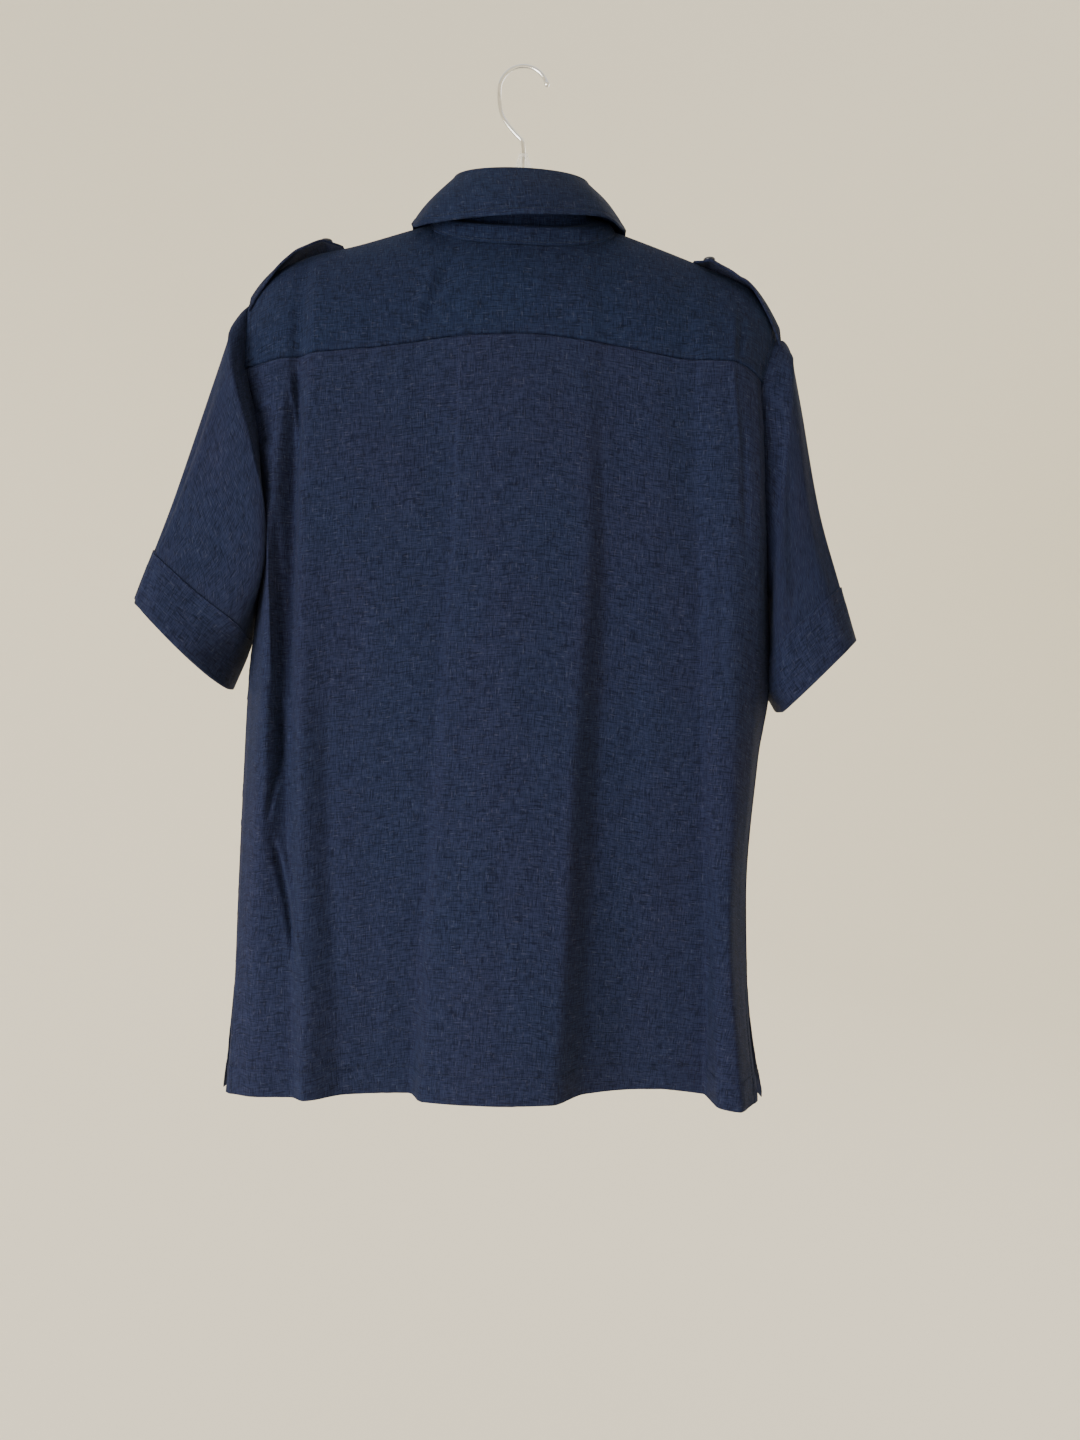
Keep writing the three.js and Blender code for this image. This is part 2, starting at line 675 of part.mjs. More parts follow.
function standGrid() {
  return collarAngles().map((angle) => {
    const foot = neckPoint(angle);
    foot.z += 5 * SEAM_GAP;
    const top = collarFold(angle);
    top.z -= COLLAR_LIP + 1;
    return Array.from({ length: STAND_ROWS + 1 }, (_, j) => foot.clone().lerp(top, j / STAND_ROWS));
  });
}

function fallGrid() {
  return collarAngles().map((angle) => {
    const fold = collarFold(angle);
    const read = (what) => through(FALL_EDGE, 'angle', what, angle);
    const edge = point(read('x'), read('y'), read('z'));
    const turn = degToRad(angle);
    const outward = point(Math.sin(turn), Math.cos(turn), 0);
    const lip = fold.clone().addScaledVector(outward, LIP_OUT);
    lip.z -= COLLAR_LIP;
    const crest = fold.clone().addScaledVector(outward, DOUBLE_WALL * CREST.walls);
    crest.z += CREST.up;
    const rows = [lip, crest];
    for (let j = 1; j <= FALL_ROWS; j += 1) {
      const share = j / FALL_ROWS;
      const start = crest.clone().addScaledVector(outward, DOUBLE_WALL);
      const bulge = FALL_BULGE * Math.sin(Math.PI * share);
      rows.push(start.lerp(edge, share).addScaledVector(outward, bulge));
    }
    return rows;
  });
}

// Epaulettes

function epauletteGrid(side) {
  const path = [...EPAULETTES[side]].sort((a, b) => a.x - b.x);
  const base = EPAULETTES[side][0].x;
  const tip = EPAULETTES[side].at(-1).x;
  const grid = [];
  for (let i = 0; i <= STRAP_STEPS; i += 1) {
    const along = i / STRAP_STEPS;
    const x = lerp(base, tip, along);
    const free = smoothstep(along, STRAP_ALONG.freeFrom, STRAP_ALONG.freeTo);
    const fullHalf = lerp(STRAP.baseHalf, STRAP.half, free);
    const toTip = clamp((along - STRAP_ALONG.tipFrom) / (1 - STRAP_ALONG.tipFrom), 0, 1);
    const half = lerp(fullHalf, STRAP.tipHalf, toTip);
    const column = [-1, -0.5, 0, 0.5, 1].map((share) => {
      const y = share * half;
      const full = y < 0 ? frontFull(x, SHOULDER_LEVEL) : backFull(x, SHOULDER_LEVEL);
      const outside = Math.max(0, Math.abs(y) - STRAP.wall - LAID_GAP);
      const drop = lerp(rollDrop(outside / full), STRAP.crown * y * y, free);
      return point(x, y, ridge(x) + through(path, 'x', 'lift', x) - drop);
    });
    grid.push(column);
  }
  return grid;
}

// Buttons: a disc with a raised rim, turned so that its back faces the cloth
function button(name, place, outward) {
  const { radius, thick, rim, bevel, dish } = BUTTON;
  const inside = radius - bevel - rim;
  const profile = [
    [0, 0],
    [radius - bevel, 0],
    [radius, bevel],
    [radius, thick - bevel],
    [radius - bevel, thick],
    [inside, thick],
    [inside - bevel, thick - dish],
    [0, thick - dish],
  ].map(([across, up]) => new THREE.Vector2(across, up));
  const geometry = mergedPositions(new THREE.LatheGeometry(profile, ROUND_SIDES));
  const mesh = add(name, geometry, FINISH.button);
  mesh.position.copy(place);
  mesh.quaternion.setFromUnitVectors(point(0, 1, 0), outward.clone().normalize());
}

function mergedPositions(geometry) {
  geometry.deleteAttribute('normal');
  geometry.deleteAttribute('uv');
  const merged = mergeVertices(geometry, 1e-4);
  const index = [];
  for (let i = 0; i < merged.index.count; i += 3) {
    const [a, b, c] = [0, 1, 2].map((k) => merged.index.getX(i + k));
    if (a !== b && b !== c && c !== a) index.push(a, b, c);
  }
  merged.setIndex(index);
  return merged;
}

// Hook and hanger

function hookGeometry() {
  const centre = -HOOK.arc + HOOK.radius;
  const places = [];
  for (let angle = HOOK.tipAngle; angle >= 0; angle -= HOOK.arcStep) {
    const turn = degToRad(angle);
    places.push(point(HOOK.arc * Math.cos(turn), 0, centre + HOOK.arc * Math.sin(turn)));
  }
  HOOK_SHANK.forEach(({ x, z }) => places.push(point(x, 0, z)));
  places.push(point(0, 0, HOOK.end));
  const path = new THREE.CatmullRomCurve3(places, false, 'centripetal');
  const rings = [];
  const ringAt = (share, radius, ahead) => {
    const middle = path.getPointAt(share);
    const along = path.getTangentAt(share);
    const across = new THREE.Vector3().crossVectors(along, point(0, 1, 0)).normalize();
    middle.addScaledVector(along, ahead);
    rings.push(Array.from({ length: HOOK.sides }, (_, k) => {
      const turn = (2 * Math.PI * k) / HOOK.sides;
      return middle.clone().addScaledVector(across, radius * Math.cos(turn)).setY(radius * Math.sin(turn));
    }));
  };
  HOOK_TIP.forEach(({ along, ahead, thick }) => ringAt(along, HOOK.radius * thick, ahead));
  for (let i = 1; i <= HOOK.steps; i += 1) ringAt(i / HOOK.steps, HOOK.radius, 0);
  return loft(rings);
}

// Closed solid through rings of points, with flat ends
function loft(rings) {
  const sides = rings[0].length;
  const positions = rings.flat().flatMap((p) => p.toArray());
  const indices = [];
  rings.slice(1).forEach((_, i) => {
    for (let k = 0; k < sides; k += 1) {
      const [a, b] = [i * sides + k, i * sides + ((k + 1) % sides)];
      indices.push(a, b, b + sides, a, b + sides, a + sides);
    }
  });
  const end = (rings.length - 1) * sides;
  for (let k = 1; k < sides - 1; k += 1) {
    indices.push(0, k + 1, k, end, end + k, end + k + 1);
  }
  if (signedVolume(positions, indices) < 0) indices.reverse();
  const geometry = new THREE.BufferGeometry();
  geometry.setAttribute('position', new THREE.Float32BufferAttribute(positions, 3));
  geometry.setIndex(indices);
  geometry.computeVertexNormals();
  return geometry;
}

function toManifold(geometry) {
  const merged = mergedPositions(geometry);
  return new wasm.Manifold(new wasm.Mesh({
    numProp: 3,
    vertProperties: new Float32Array(merged.attributes.position.array),
    triVerts: new Uint32Array(merged.index.array),
  }));
}

function hangerGeometry() {
  const upper = [];
  const lower = [];
  for (const side of [RIGHT, LEFT]) {
    const neck = HANGER_NECK.map(({ x, z, lean }) => ({ x: side * x, z: z + lean * LEAN * side * x }));
    const under = ({ x }) => ridge(side * x) - HANGER.clearance;
    const arm = HANGER_ARM.map((row) => ({ x: side * row.x, z: under(row) - row.dip }));
    const top = [...neck, ...arm, { x: side * HANGER.half, z: arm.at(-1).z - HANGER.tipDrop }];
    const bottom = HANGER_ARM.map((row) => ({ x: side * row.x, z: under(row) - HANGER.depth }));
    bottom.unshift({ x: side * HANGER_CROTCH.x, z: HANGER_CROTCH.z });
    if (side === RIGHT) {
      top.reverse();
      bottom.reverse();
    }
    upper.push(...top);
    lower.push(...bottom);
  }
  const outline = [...upper, ...lower.reverse()].map(({ x, z }) => new THREE.Vector2(x, z));
  const body = new THREE.ExtrudeGeometry(new THREE.Shape(outline), {
    depth: HANGER.thick,
    bevelEnabled: false,
  });
  body.translate(0, 0, -HANGER.thick / 2);
  body.rotateX(Math.PI / 2);
  const bore = new THREE.CylinderGeometry(HANGER.bore, HANGER.bore, HANGER.boreDepth, ROUND_SIDES);
  bore.rotateX(Math.PI / 2);
  bore.translate(0, 0, HOOK.end - SEAM_GAP + HANGER.boreDepth / 2);
  const { numProp, vertProperties, triVerts } = toManifold(body).subtract(toManifold(bore)).getMesh();
  const geometry = new THREE.BufferGeometry();
  geometry.setAttribute('position', new THREE.BufferAttribute(vertProperties, numProp));
  geometry.setIndex(new THREE.BufferAttribute(triVerts, 1));
  return geometry;
}

// Assembly

const yoke = yokeGrid();
const back = backGrid();
const fronts = { [LEFT]: frontGrid(LEFT), [RIGHT]: frontGrid(RIGHT) };
const SIDE_NAMES = { [LEFT]: 'left', [RIGHT]: 'right' };

add('yoke', clothWall(yoke), FINISH.cloth);
add('back', clothWall(back), FINISH.cloth);

for (const side of [LEFT, RIGHT]) {
  const name = SIDE_NAMES[side];
  const front = fronts[side];
  const turn = side;
  add(`front_${name}`, clothWall(front, { turn }), FINISH.cloth);

  const chest = front.slice(POCKET.firstColumn, POCKET.lastColumn[side] + 1);
  const pocket = chest.map((column) => column.slice(POCKET.top, POCKET.bottom + 1));
  const flap = chest.map((column) => column.slice(POCKET.flapTop, POCKET.flapBottom + 1));
  const pocketLift = LAID_GAP + WALL;
  const flapLift = pocketLift + LAID_GAP + WALL;
  add(`pocket_${name}`, clothWall(pocket, { lift: pocketLift, turn }), FINISH.cloth);
  add(`pocket_flap_${name}`, clothWall(flap, { lift: flapLift, turn }), FINISH.cloth);
  const seatColumn = Math.floor(flap.length / 2);
  const flapFace = moved(flap, flapLift, { turn })[seatColumn][1];
  const flapNormal = gridNormals(flap, false)[seatColumn][1].multiplyScalar(turn);
  button(`button_pocket_${name}`, flapFace.addScaledVector(flapNormal, BUTTON.clear), flapNormal);

  const armhole = armholePoints(side, yoke, back, front);
  const sleeve = sleeveGrid(side, armhole);
  add(`sleeve_${name}`, clothWall(sleeve, { closed: true, turn: -side }), FINISH.cloth);
  const cuffLift = LAID_GAP + DOUBLE_WALL;
  const cuffOptions = { wall: DOUBLE_WALL, lift: cuffLift, closed: true, turn: -side };
  add(`cuff_${name}`, clothWall(cuffGrid(sleeve), cuffOptions), FINISH.cloth);

  const strap = epauletteGrid(side);
  add(`epaulette_${name}`, clothWall(strap, { wall: STRAP.wall, turn: -side }), FINISH.cloth);
  const seat = strap.at(-3)[2].clone();
  seat.z += BUTTON.clear;
  button(`button_epaulette_${name}`, seat, point(0, 0, 1));
}

const laps = fronts[LEFT].slice(-3);
add('placket', clothWall(laps, { lift: LAID_GAP + WALL, turn: LEFT }), FINISH.cloth);
for (let k = 0; k < BUTTON_ROW.count; k += 1) {
  const z = BUTTON_ROW.first - k * BUTTON_ROW.spacing;
  const x = centreX(z);
  const y = frontDepth(x, z) - WALL - LAID_GAP - BUTTON.clear;
  button(`button_front_${k + 1}`, point(x, y, z), point(0, -1, 0));
}

add('collar_stand', clothWall(standGrid(), { turn: -1 }), FINISH.cloth);
add('collar', clothWall(fallGrid(), { wall: DOUBLE_WALL }), FINISH.cloth);
add('hanger', hangerGeometry(), FINISH.plastic);
add('hook', hookGeometry(), FINISH.steel);

export default shirt;
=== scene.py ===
"""Short-sleeved safari shirt on a clear hanger: cloth, stitching, buttons, hanger and studio."""

import math

import bmesh
import bpy
import numpy as np
from bpy.props import FloatProperty, FloatVectorProperty, IntProperty, PointerProperty
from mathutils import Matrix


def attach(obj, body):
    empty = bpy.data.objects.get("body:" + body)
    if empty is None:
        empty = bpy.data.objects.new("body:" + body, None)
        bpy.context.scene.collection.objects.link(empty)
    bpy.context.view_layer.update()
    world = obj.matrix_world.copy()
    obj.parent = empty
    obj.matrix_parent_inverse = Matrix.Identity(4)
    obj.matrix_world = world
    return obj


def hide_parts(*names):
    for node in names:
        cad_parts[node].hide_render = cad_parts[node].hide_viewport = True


bl_info = {
    "name": "Safari Shirt",
    "version": (1, 0, 0),
    "blender": (4, 5, 0),
    "location": "View3D > Sidebar > Shirt",
    "description": "Makes a hanging safari shirt, its hanger and a plain studio",
    "category": "Add Mesh",
}

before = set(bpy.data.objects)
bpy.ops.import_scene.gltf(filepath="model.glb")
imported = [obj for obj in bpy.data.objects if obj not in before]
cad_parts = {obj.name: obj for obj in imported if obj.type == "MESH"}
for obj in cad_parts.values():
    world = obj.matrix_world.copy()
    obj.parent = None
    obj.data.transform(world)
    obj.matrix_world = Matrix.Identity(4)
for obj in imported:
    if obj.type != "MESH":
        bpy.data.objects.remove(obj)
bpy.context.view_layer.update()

MM = 0.001
LEFT, RIGHT = 1, -1
SIDE_NAMES = {LEFT: "left", RIGHT: "right"}

# Form of the shirt, in millimetres, as its solids have it

LEAN = 0.0437
RIDGE = {"top": -125, "slope": 0.27, "bow": 0.0003}
SHOULDER_END = {
    LEFT: {"bend_start": 225, "bend": 0.02, "edge": 256},
    RIGHT: {"bend_start": 203, "bend": 0.025, "edge": 241},
}
# The cloth stands up a little under the left strap
SHOULDER_FULL = {"x": 202, "width": 34, "rise": 5.5}
ROLL = {"height": 95, "power": 1.6}
SHOULDER_LEVEL = -268
NECK = {"half": 84, "side": -150, "back_drop": 30, "back_power": 0.8, "front_drop": 95, "front_power": 0.9}
FORWARD_SEAM_DROP = 18

# The yoke's back seam: x, z
YOKE_SEAM = np.array([
    (-240, -300), (-192, -286), (-150, -284), (-78, -272), (0, -263),
    (56, -264.5), (128, -273.5), (190, -279), (250, -286),
], float)

# Armhole edge and side seam: z, left x, right x
SIDES = np.array([
    (-957, 279, -220), (-889, 273, -211), (-852, 270, -209), (-777, 267, -208),
    (-646, 261, -219), (-572, 257, -230), (-482, 246, -229), (-430, 240, -229),
    (-350, 240, -233), (-290, 253, -238), (-226, 256, -241),
], float)
ARMPIT = {LEFT: -475, RIGHT: -489}
ARMHOLE_HALF = {LEFT: 22, RIGHT: 18}
ARMPIT_ROUND = 75
VENT = {"top": -858, "hem": -956, "spread": 6, "step": 3}
HEM = {"z": -954, "right_start": -130, "right_slope": 0.1}

# Long folds of the back: places across and depths at the fold heights, top to hem
FOLD_HEIGHTS = (-268, -430, -645, -800, -957)
BACK_FOLDS = {
    "right side": ((-228, -216, -207, -197, -208), (24, 38, 26, 20, 22)),
    "right ridge": ((-181, -184, -186, -184, -194), (40, 47, 42, 38, 41)),
    "right step top": ((-160, -166, -169, -174, -176), (41, 43, 39, 36, 35)),
    "right step foot": ((-153, -157, -162, -167, -168), (40, 37, 29, 20, 0)),
    "right hollow": ((-118, -118, -114, -110, -112), (43, 40, 31, 22, -2)),
    "centre slope foot": ((-75, -77, -72, -63, -57), (44, 40, 31, 27, 11)),
    "centre slope top": ((-55, -56, -42, -35, -25), (46, 50, 52, 51, 42)),
    "centre": ((3, 3, 7, 12, 12), (46, 51, 53, 52, 45)),
    "pressed line top": ((54, 58, 71, 81, 93), (45, 48, 47, 44, 32)),
    "pressed line foot": ((58, 65, 81, 93, 106), (44, 43, 39, 32, 8)),
    "left hollow": ((136, 160, 176, 171, 164), (43, 45, 37, 33, 12)),
    "left bank": ((186, 197, 198, 196, 199), (43, 48, 44, 42, 30)),
    "left crease": ((202, 207, 217, 213, 213), (34, 33, 25, 29, 20)),
    "left ridge": ((211, 224, 232, 238, 240), (36, 46, 38, 31, 20)),
    "left side": ((250, 236, 252, 262, 273), (24, 30, 18, 14, 10)),
}

FRONT_DEPTH = 47
FRONT_SQUARE = 5
# Soft troughs of the fronts: top x, hem x, width, depth, upper end
FRONT_FOLDS = (
    (208, 238, 14, 10, -330), (136, 158, 20, 8, -470), (58, 78, 17, 9, -300),
    (-52, -48, 16, 9, -330), (-140, -120, 20, 7, -520), (-192, -180, 14, 11, -340),
)
FOLD_FADE = 120
FRONT_FOLD_HEIGHTS = (-300, -957)
# Centre front line: z, x
CENTRE = np.array([(-957, 27), (-645, 19), (-430, 6), (-245, 1)], float)
LAP = 17.5
NECK_FOOT = -245
# How far the cloth is turned in at the hem, the vents and the front edges
TURNS = {"hem": 26, "vent": 9, "front": 30}
PLACKET = {"inner": 21.7, "top": -243, "foot": -953, "turn": 5}

# Neckline angles and where the yoke's columns from them meet the back seam
NECK_COLUMNS = np.array([
    (0, 0), (15, 21), (30, 41), (45, 57), (60, 69), (72, 76), (82, 80.5), (90, 84), (97, 88), (103, 93),
], float)

# Sleeve rings: s, outer x, outer z, inner x, inner z, back depth, front depth
SLEEVES = {
    LEFT: np.array([
        (0.12, 269, -250, 247, -484, 52, 45),
        (0.5, 313, -380, 256, -530, 55, 50),
        (1, 353, -501, 277, -580, 68, 60),
    ], float),
    RIGHT: np.array([
        (0.12, -249, -272, -230, -498, 30, 52),
        (0.5, -272, -404, -229, -545, 30, 66),
        (0.8, -293, -486, -229, -577, 37, 76),
        (1, -307, -538, -242, -602, 42, 82),
    ], float),
}
SLEEVE_ROUND = 0.83
# How much higher the mouth's back edge hangs than its middle
MOUTH_TILT = {LEFT: 8, RIGHT: 7}
# The back of each sleeve falls over its armhole: places along, how far in, how far back, and
# where round the sleeve and how widely it does so
SLEEVE_OVER = {
    LEFT: ((0, 0.12, 0.35, 0.55, 0.75, 1), (8, 24, 30, 22, 6, 0), (0, 1, 2, 2, 1, 0), (1.95, 0.72)),
    RIGHT: ((0, 0.12, 0.35, 0.55, 0.75, 1), (0, 4, 6, 5, 2, 0), (0, 3, 5, 4, 2, 0), (2.15, 0.5)),
}
# Fullness of the sleeve's cap
CAP = {"rise": 3.5, "reach": 0.13}
# The right armhole is hollowed towards the back: z, how far in
HOLLOW = np.array([
    (-500, 0), (-470, 5), (-430, 8), (-350, 15), (-300, 21), (-275, 14), (-252, 5), (-234, 0),
], float)
HOLLOW_FROM = -150
CUFF_HEIGHT = 56
# Chest pockets: in from the shoulder's edge, out from the middle, heights from the armpit
POCKET = {"outer": 64, "inner": 59.4, "top": 77, "foot": -66, "flap_top": 92, "flap_foot": 30, "button": 45}
FIRST_BUTTON = -268
# Where each strap's button sits in the strap's grid: along, across
STRAP_BUTTON = (43, 13)

COLLAR_FRONT = 172
COLLAR_FOLD = {
    "half_x": 60, "x": 2, "back_y": 42, "front_y": 45, "side_z": -110, "back_drop": 6.5, "front_drop": 95,
}
# Lower edge of the collar's fall: angle, x, y, z
FALL_EDGE = np.array([
    (-172, -56, -58, -272), (-130, -92, -44, -204), (-90, -96, 0, -153), (-66, -89, 22, -158),
    (-42, -74, 46, -160), (0, -4, 68, -167), (42, 74, 44, -163), (66, 97, 28, -160),
    (90, 104, 0, -147), (130, 98, -44, -195), (172, 58, -58, -268),
], float)

# Height of each shoulder strap above the ridge: x, lift
STRAPS = {
    LEFT: np.array([
        (254, 3), (236, 2.6), (218, 3.6), (208, 6.8), (195, 8.2), (186, 9.6), (177, 5.5), (168, 2.2),
    ], float),
    RIGHT: np.array([
        (-239, 5), (-221, 4.2), (-202, 3.7), (-193, 6), (-181, 7), (-174, 8), (-166, 3.4), (-159, 1.2),
    ], float),
}
STRAP_CROWN = {LEFT: 0.014, RIGHT: 0.02}

# The hanger: half its width, its arm's place under the ridge and height, where its tips and the
# notch under its neck begin
HANGER = {"half": 214, "under_ridge": 4.4, "arm": 12, "tip": 206, "tip_run": 8, "notch": 84, "notch_z": -140}
# The hanger's neck: x, z
HANGER_NECK = np.array([(0, -80), (3.8, -80), (7.5, -92), (16, -104), (40, -124), (64, -140)], float)
# The hook's wire: its bend, then x and z down to the hanger
HOOK_BEND = {"radius": 22.5, "centre": -20.7, "angles": (166, -1, -12)}
HOOK_SHANK = (
    (22.4, -32.7), (20.1, -43.5), (14.7, -52.9), (7, -62.1), (1.5, -68.2), (0, -76), (0, -85), (0, -94.6),
)

# The photo's view: metres, then the focal length and the picture's height in its pixels
CAMERA = {"place": (-0.0154, 1.010, -0.609), "focal": 1081, "height": 1440, "film": 36.0}

# Small creases pressed into the cloth: x and z of both ends, half width, height (a valley is
# negative), sideways bow
BACK_CREASES = (
    (203, -292, 199, -352, 2.4, -2.2, -2), (205, -312, 204, -440, 1.9, 2.0, 1),
    (210, -296, 206, -330, 2.2, 1.6, 0), (221, -580, 220, -668, 2.8, -4.2, 1),
    (219, -640, 232, -706, 2.6, -4.0, -1), (214, -575, 214, -660, 2.4, 2.4, 1),
    (231, -380, 226, -600, 2.0, 3.0, 2), (222, -400, 218, -590, 3.6, -3.2, 1),
    (230, -705, 206, -840, 2.8, -4.2, 3), (222, -715, 199, -840, 2.4, 2.2, 3),
    (240, -702, 234, -722, 2.0, 1.6, 1), (-18, -262, -20, -400, 5, 1.0, 1),
    (135, -268, 137, -330, 6, -0.9, 1), (150, -480, 165, -720, 9, -1.3, 3),
    (177, -560, 162, -915, 7, -1.8, -3), (55, -262, 58, -400, 2.0, 1.1, 0),
    (58, -385, 72, -640, 1.8, 1.3, 0), (71, -625, 96, -940, 1.8, 1.4, 1),
    (-158, -318, -163, -480, 1.9, 1.0, 0), (-163, -470, -170, -950, 1.8, 1.3, 0),
    (-192, -276, -196, -385, 2.4, 2.6, 1), (-205, -330, -203, -470, 3.6, -2.4, -2),
    (-178, -420, -176, -600, 3.4, -1.6, 1),
    (-74, -300, -76, -470, 4.5, 1.2, 2), (-50, -600, -36, -900, 6, 1.0, -3),
    (-100, -520, -96, -760, 9, -1.2, 3), (20, -700, 26, -940, 10, -1.0, 2),
    (118, -760, 128, -945, 8, 1.0, -2), (-140, -700, -146, -940, 7, -1.0, 2),
    (100, -330, 96, -470, 9, 0.8, -2), (-118, -310, -128, -430, 8, 0.8, 2),
)
YOKE_CREASES = (
    (64, -186, 94, -262, 4.4, -3.4, 4), (75, -190, 107, -256, 3.6, 2.4, 4),
    (135, -206, 134, -276, 6, -0.9, -1), (-192, -232, -193, -294, 2.6, 2.8, 0),
    (-200, -240, -199, -296, 3.2, -2.0, 1), (-176, -215, -183, -285, 5, -1.2, -2),
    (-18, -205, -18, -268, 6, 0.8, 0), (205, -222, 207, -290, 4, -1.7, 2),
    (-60, -196, -84, -262, 7, -0.9, -3), (30, -200, 36, -262, 8, -0.6, 2),
)
FRONT_CREASES = (
    (190, -300, 204, -520, 6, -2.0, 4), (120, -220, 112, -330, 8, -1.2, -4),
    (-120, -232, -110, -340, 8, -1.2, 4), (-182, -320, -188, -560, 6, -1.8, -3),
    (98, -520, 108, -900, 8, -1.5, 5), (-88, -540, -84, -930, 9, -1.4, -4),
    (180, -600, 196, -930, 7, 1.3, 3), (40, -640, 52, -940, 8, -1.3, -3),
    (-24, -560, -8, -900, 7, -1.0, 3), (-160, -640, -152, -900, 8, 1.2, 3),
)
# Creases of the sleeves: turn in degrees (the back is positive) and place along at both ends,
# half width, height
SLEEVE_CREASES = {
    LEFT: (
        (53, 0.10, 53, 1.04, 3.2, 2.2), (40, 0.14, 39, 1.04, 3.4, -3.0),
        (96, 0.2, 84, 0.9, 8, -1.4), (128, 0.06, 116, 0.72, 6, 1.0),
        (150, 0.1, 146, 0.95, 5, -1.5), (-58, 0.2, -66, 0.95, 7, -1.6), (-110, 0.1, -104, 0.9, 8, 1.5),
        (44, 0.04, 60, 0.4, 6, -1.0), (-24, 0.3, -30, 1.0, 5, 1.2),
    ),
    RIGHT: (
        (18, 0.1, 30, 0.9, 4, 1.1), (84, 0.05, 108, 0.8, 5, -1.6), (58, 0.2, 70, 1.0, 6, 1.2),
        (136, 0.1, 128, 0.9, 5, -1.3), (-60, 0.1, -70, 0.95, 8, -1.6), (-118, 0.2, -108, 0.9, 7, 1.4),
        (108, 0.3, 96, 1.0, 4, 1.0), (-28, 0.2, -22, 1.0, 6, 1.2),
    ),
}

# Stitch lines are gathered here while the pieces are made: group, points in millimetres
SEAMS = []


# Curves and surfaces of the form


def lerp(a, b, t):
    return a + (b - a) * t


def smooth(t):
    t = np.clip(t, 0, 1)
    return t * t * (3 - 2 * t)


def tangents(xs, ys):
    """Slopes of the smooth curve through rows that never swings past them."""
    slope = np.diff(ys, axis=-1) / np.diff(xs, axis=-1)
    a, b = slope[..., :-1], slope[..., 1:]
    total = np.where(a * b > 0, a + b, 1.0)
    inner = np.where(a * b > 0, 2 * a * b / total, 0.0)
    return np.concatenate([slope[..., :1], inner, slope[..., -1:]], axis=-1)


def hermite(x0, x1, y0, y1, m0, m1, at):
    h = x1 - x0
    t = (at - x0) / h
    rise = 3 * t**2 - 2 * t**3
    return lerp(y0, y1, rise) + (t - 2 * t**2 + t**3) * h * m0 + (t**3 - t**2) * h * m1


def through(xs, ys, at):
    """Smooth curve through the rows (xs rising), held at its ends."""
    xs, ys = np.asarray(xs, float), np.asarray(ys, float)
    at = np.clip(np.asarray(at, float), xs[0], xs[-1])
    i = np.clip(np.searchsorted(xs, at) - 1, 0, len(xs) - 2)
    m = tangents(xs, ys)
    return hermite(xs[i], xs[i + 1], ys[i], ys[i + 1], m[i], m[i + 1], at)


def ridge(x):
    x = np.asarray(x, float)
    start = np.where(x < 0, SHOULDER_END[RIGHT]["bend_start"], SHOULDER_END[LEFT]["bend_start"])
    bend = np.where(x < 0, SHOULDER_END[RIGHT]["bend"], SHOULDER_END[LEFT]["bend"])
    beyond = np.maximum(0, np.abs(x) - start)
    line = RIDGE["top"] - RIDGE["slope"] * np.abs(x) - RIDGE["bow"] * x * x + LEAN * x
    off = (x - SHOULDER_FULL["x"]) / SHOULDER_FULL["width"]
    line = line + SHOULDER_FULL["rise"] * np.exp(-(off**2))
    return line - bend * beyond * beyond


def roll(x, z):
    below = np.clip((ridge(x) - z) / ROLL["height"], 0, 1)
    return (1 - (1 - below) ** ROLL["power"]) ** (1 / ROLL["power"])


def roll_drop(share):
    return ROLL["height"] * (1 - (1 - np.minimum(1, share) ** ROLL["power"]) ** (1 / ROLL["power"]))


def vent(z):
    return np.clip((VENT["top"] - z) / (VENT["top"] - VENT["hem"]), 0, 1)


def edge_x(side, face, z):
    column = 1 if side == LEFT else 2
    return through(SIDES[:, 0], SIDES[:, column], z) - side * face * VENT["step"] * vent(z)


def edge_y(side, z):
    """Half depth of the body at its edge: the armhole above, the closed seam and the vent below."""
    closing = np.clip((ARMPIT[side] + ARMPIT_ROUND - z) / ARMPIT_ROUND, 0, 1)
    return ARMHOLE_HALF[side] * np.sqrt(1 - closing**2) - 0.25 + (VENT["spread"] + 0.8) * vent(z)


LEVELS = np.arange(-1010.0, -184.0, 2.0)


def back_table():
    xs, ys = [edge_x(RIGHT, 1, LEVELS)], [edge_y(RIGHT, LEVELS)]
    heights = FOLD_HEIGHTS[::-1]
    for places, depths in BACK_FOLDS.values():
        xs.append(through(heights, places[::-1], LEVELS))
        ys.append(through(heights, depths[::-1], LEVELS))
    xs.append(edge_x(LEFT, 1, LEVELS))
    ys.append(edge_y(LEFT, LEVELS))
    return np.stack(xs, axis=1), np.stack(ys, axis=1)


TABLE_X, TABLE_Y = back_table()
TABLE_M = tangents(TABLE_X, TABLE_Y)
GAPS = TABLE_X.shape[1] - 1


def level_of(z):
    place = np.clip((np.asarray(z, float) - LEVELS[0]) / 2.0, 0, len(LEVELS) - 1.001)
    row = place.astype(int)
    return row, place - row


def back_full(x, z):
    """Depth of the back behind the middle plane, before it rolls over the shoulder."""
    x, z = np.broadcast_arrays(np.asarray(x, float), np.asarray(z, float))
    row, share = level_of(z)

    def at_row(r):
        xs, ys, ms = TABLE_X[r], TABLE_Y[r], TABLE_M[r]
        at = np.clip(x, xs[..., 0], xs[..., -1])
        k = np.clip((xs < at[..., None]).sum(-1) - 1, 0, GAPS - 1)

        def pick(table, offset):
            return np.take_along_axis(table, (k + offset)[..., None], -1)[..., 0]

        return hermite(pick(xs, 0), pick(xs, 1), pick(ys, 0), pick(ys, 1), pick(ms, 0), pick(ms, 1), at)

    return lerp(at_row(row), at_row(row + 1), share)


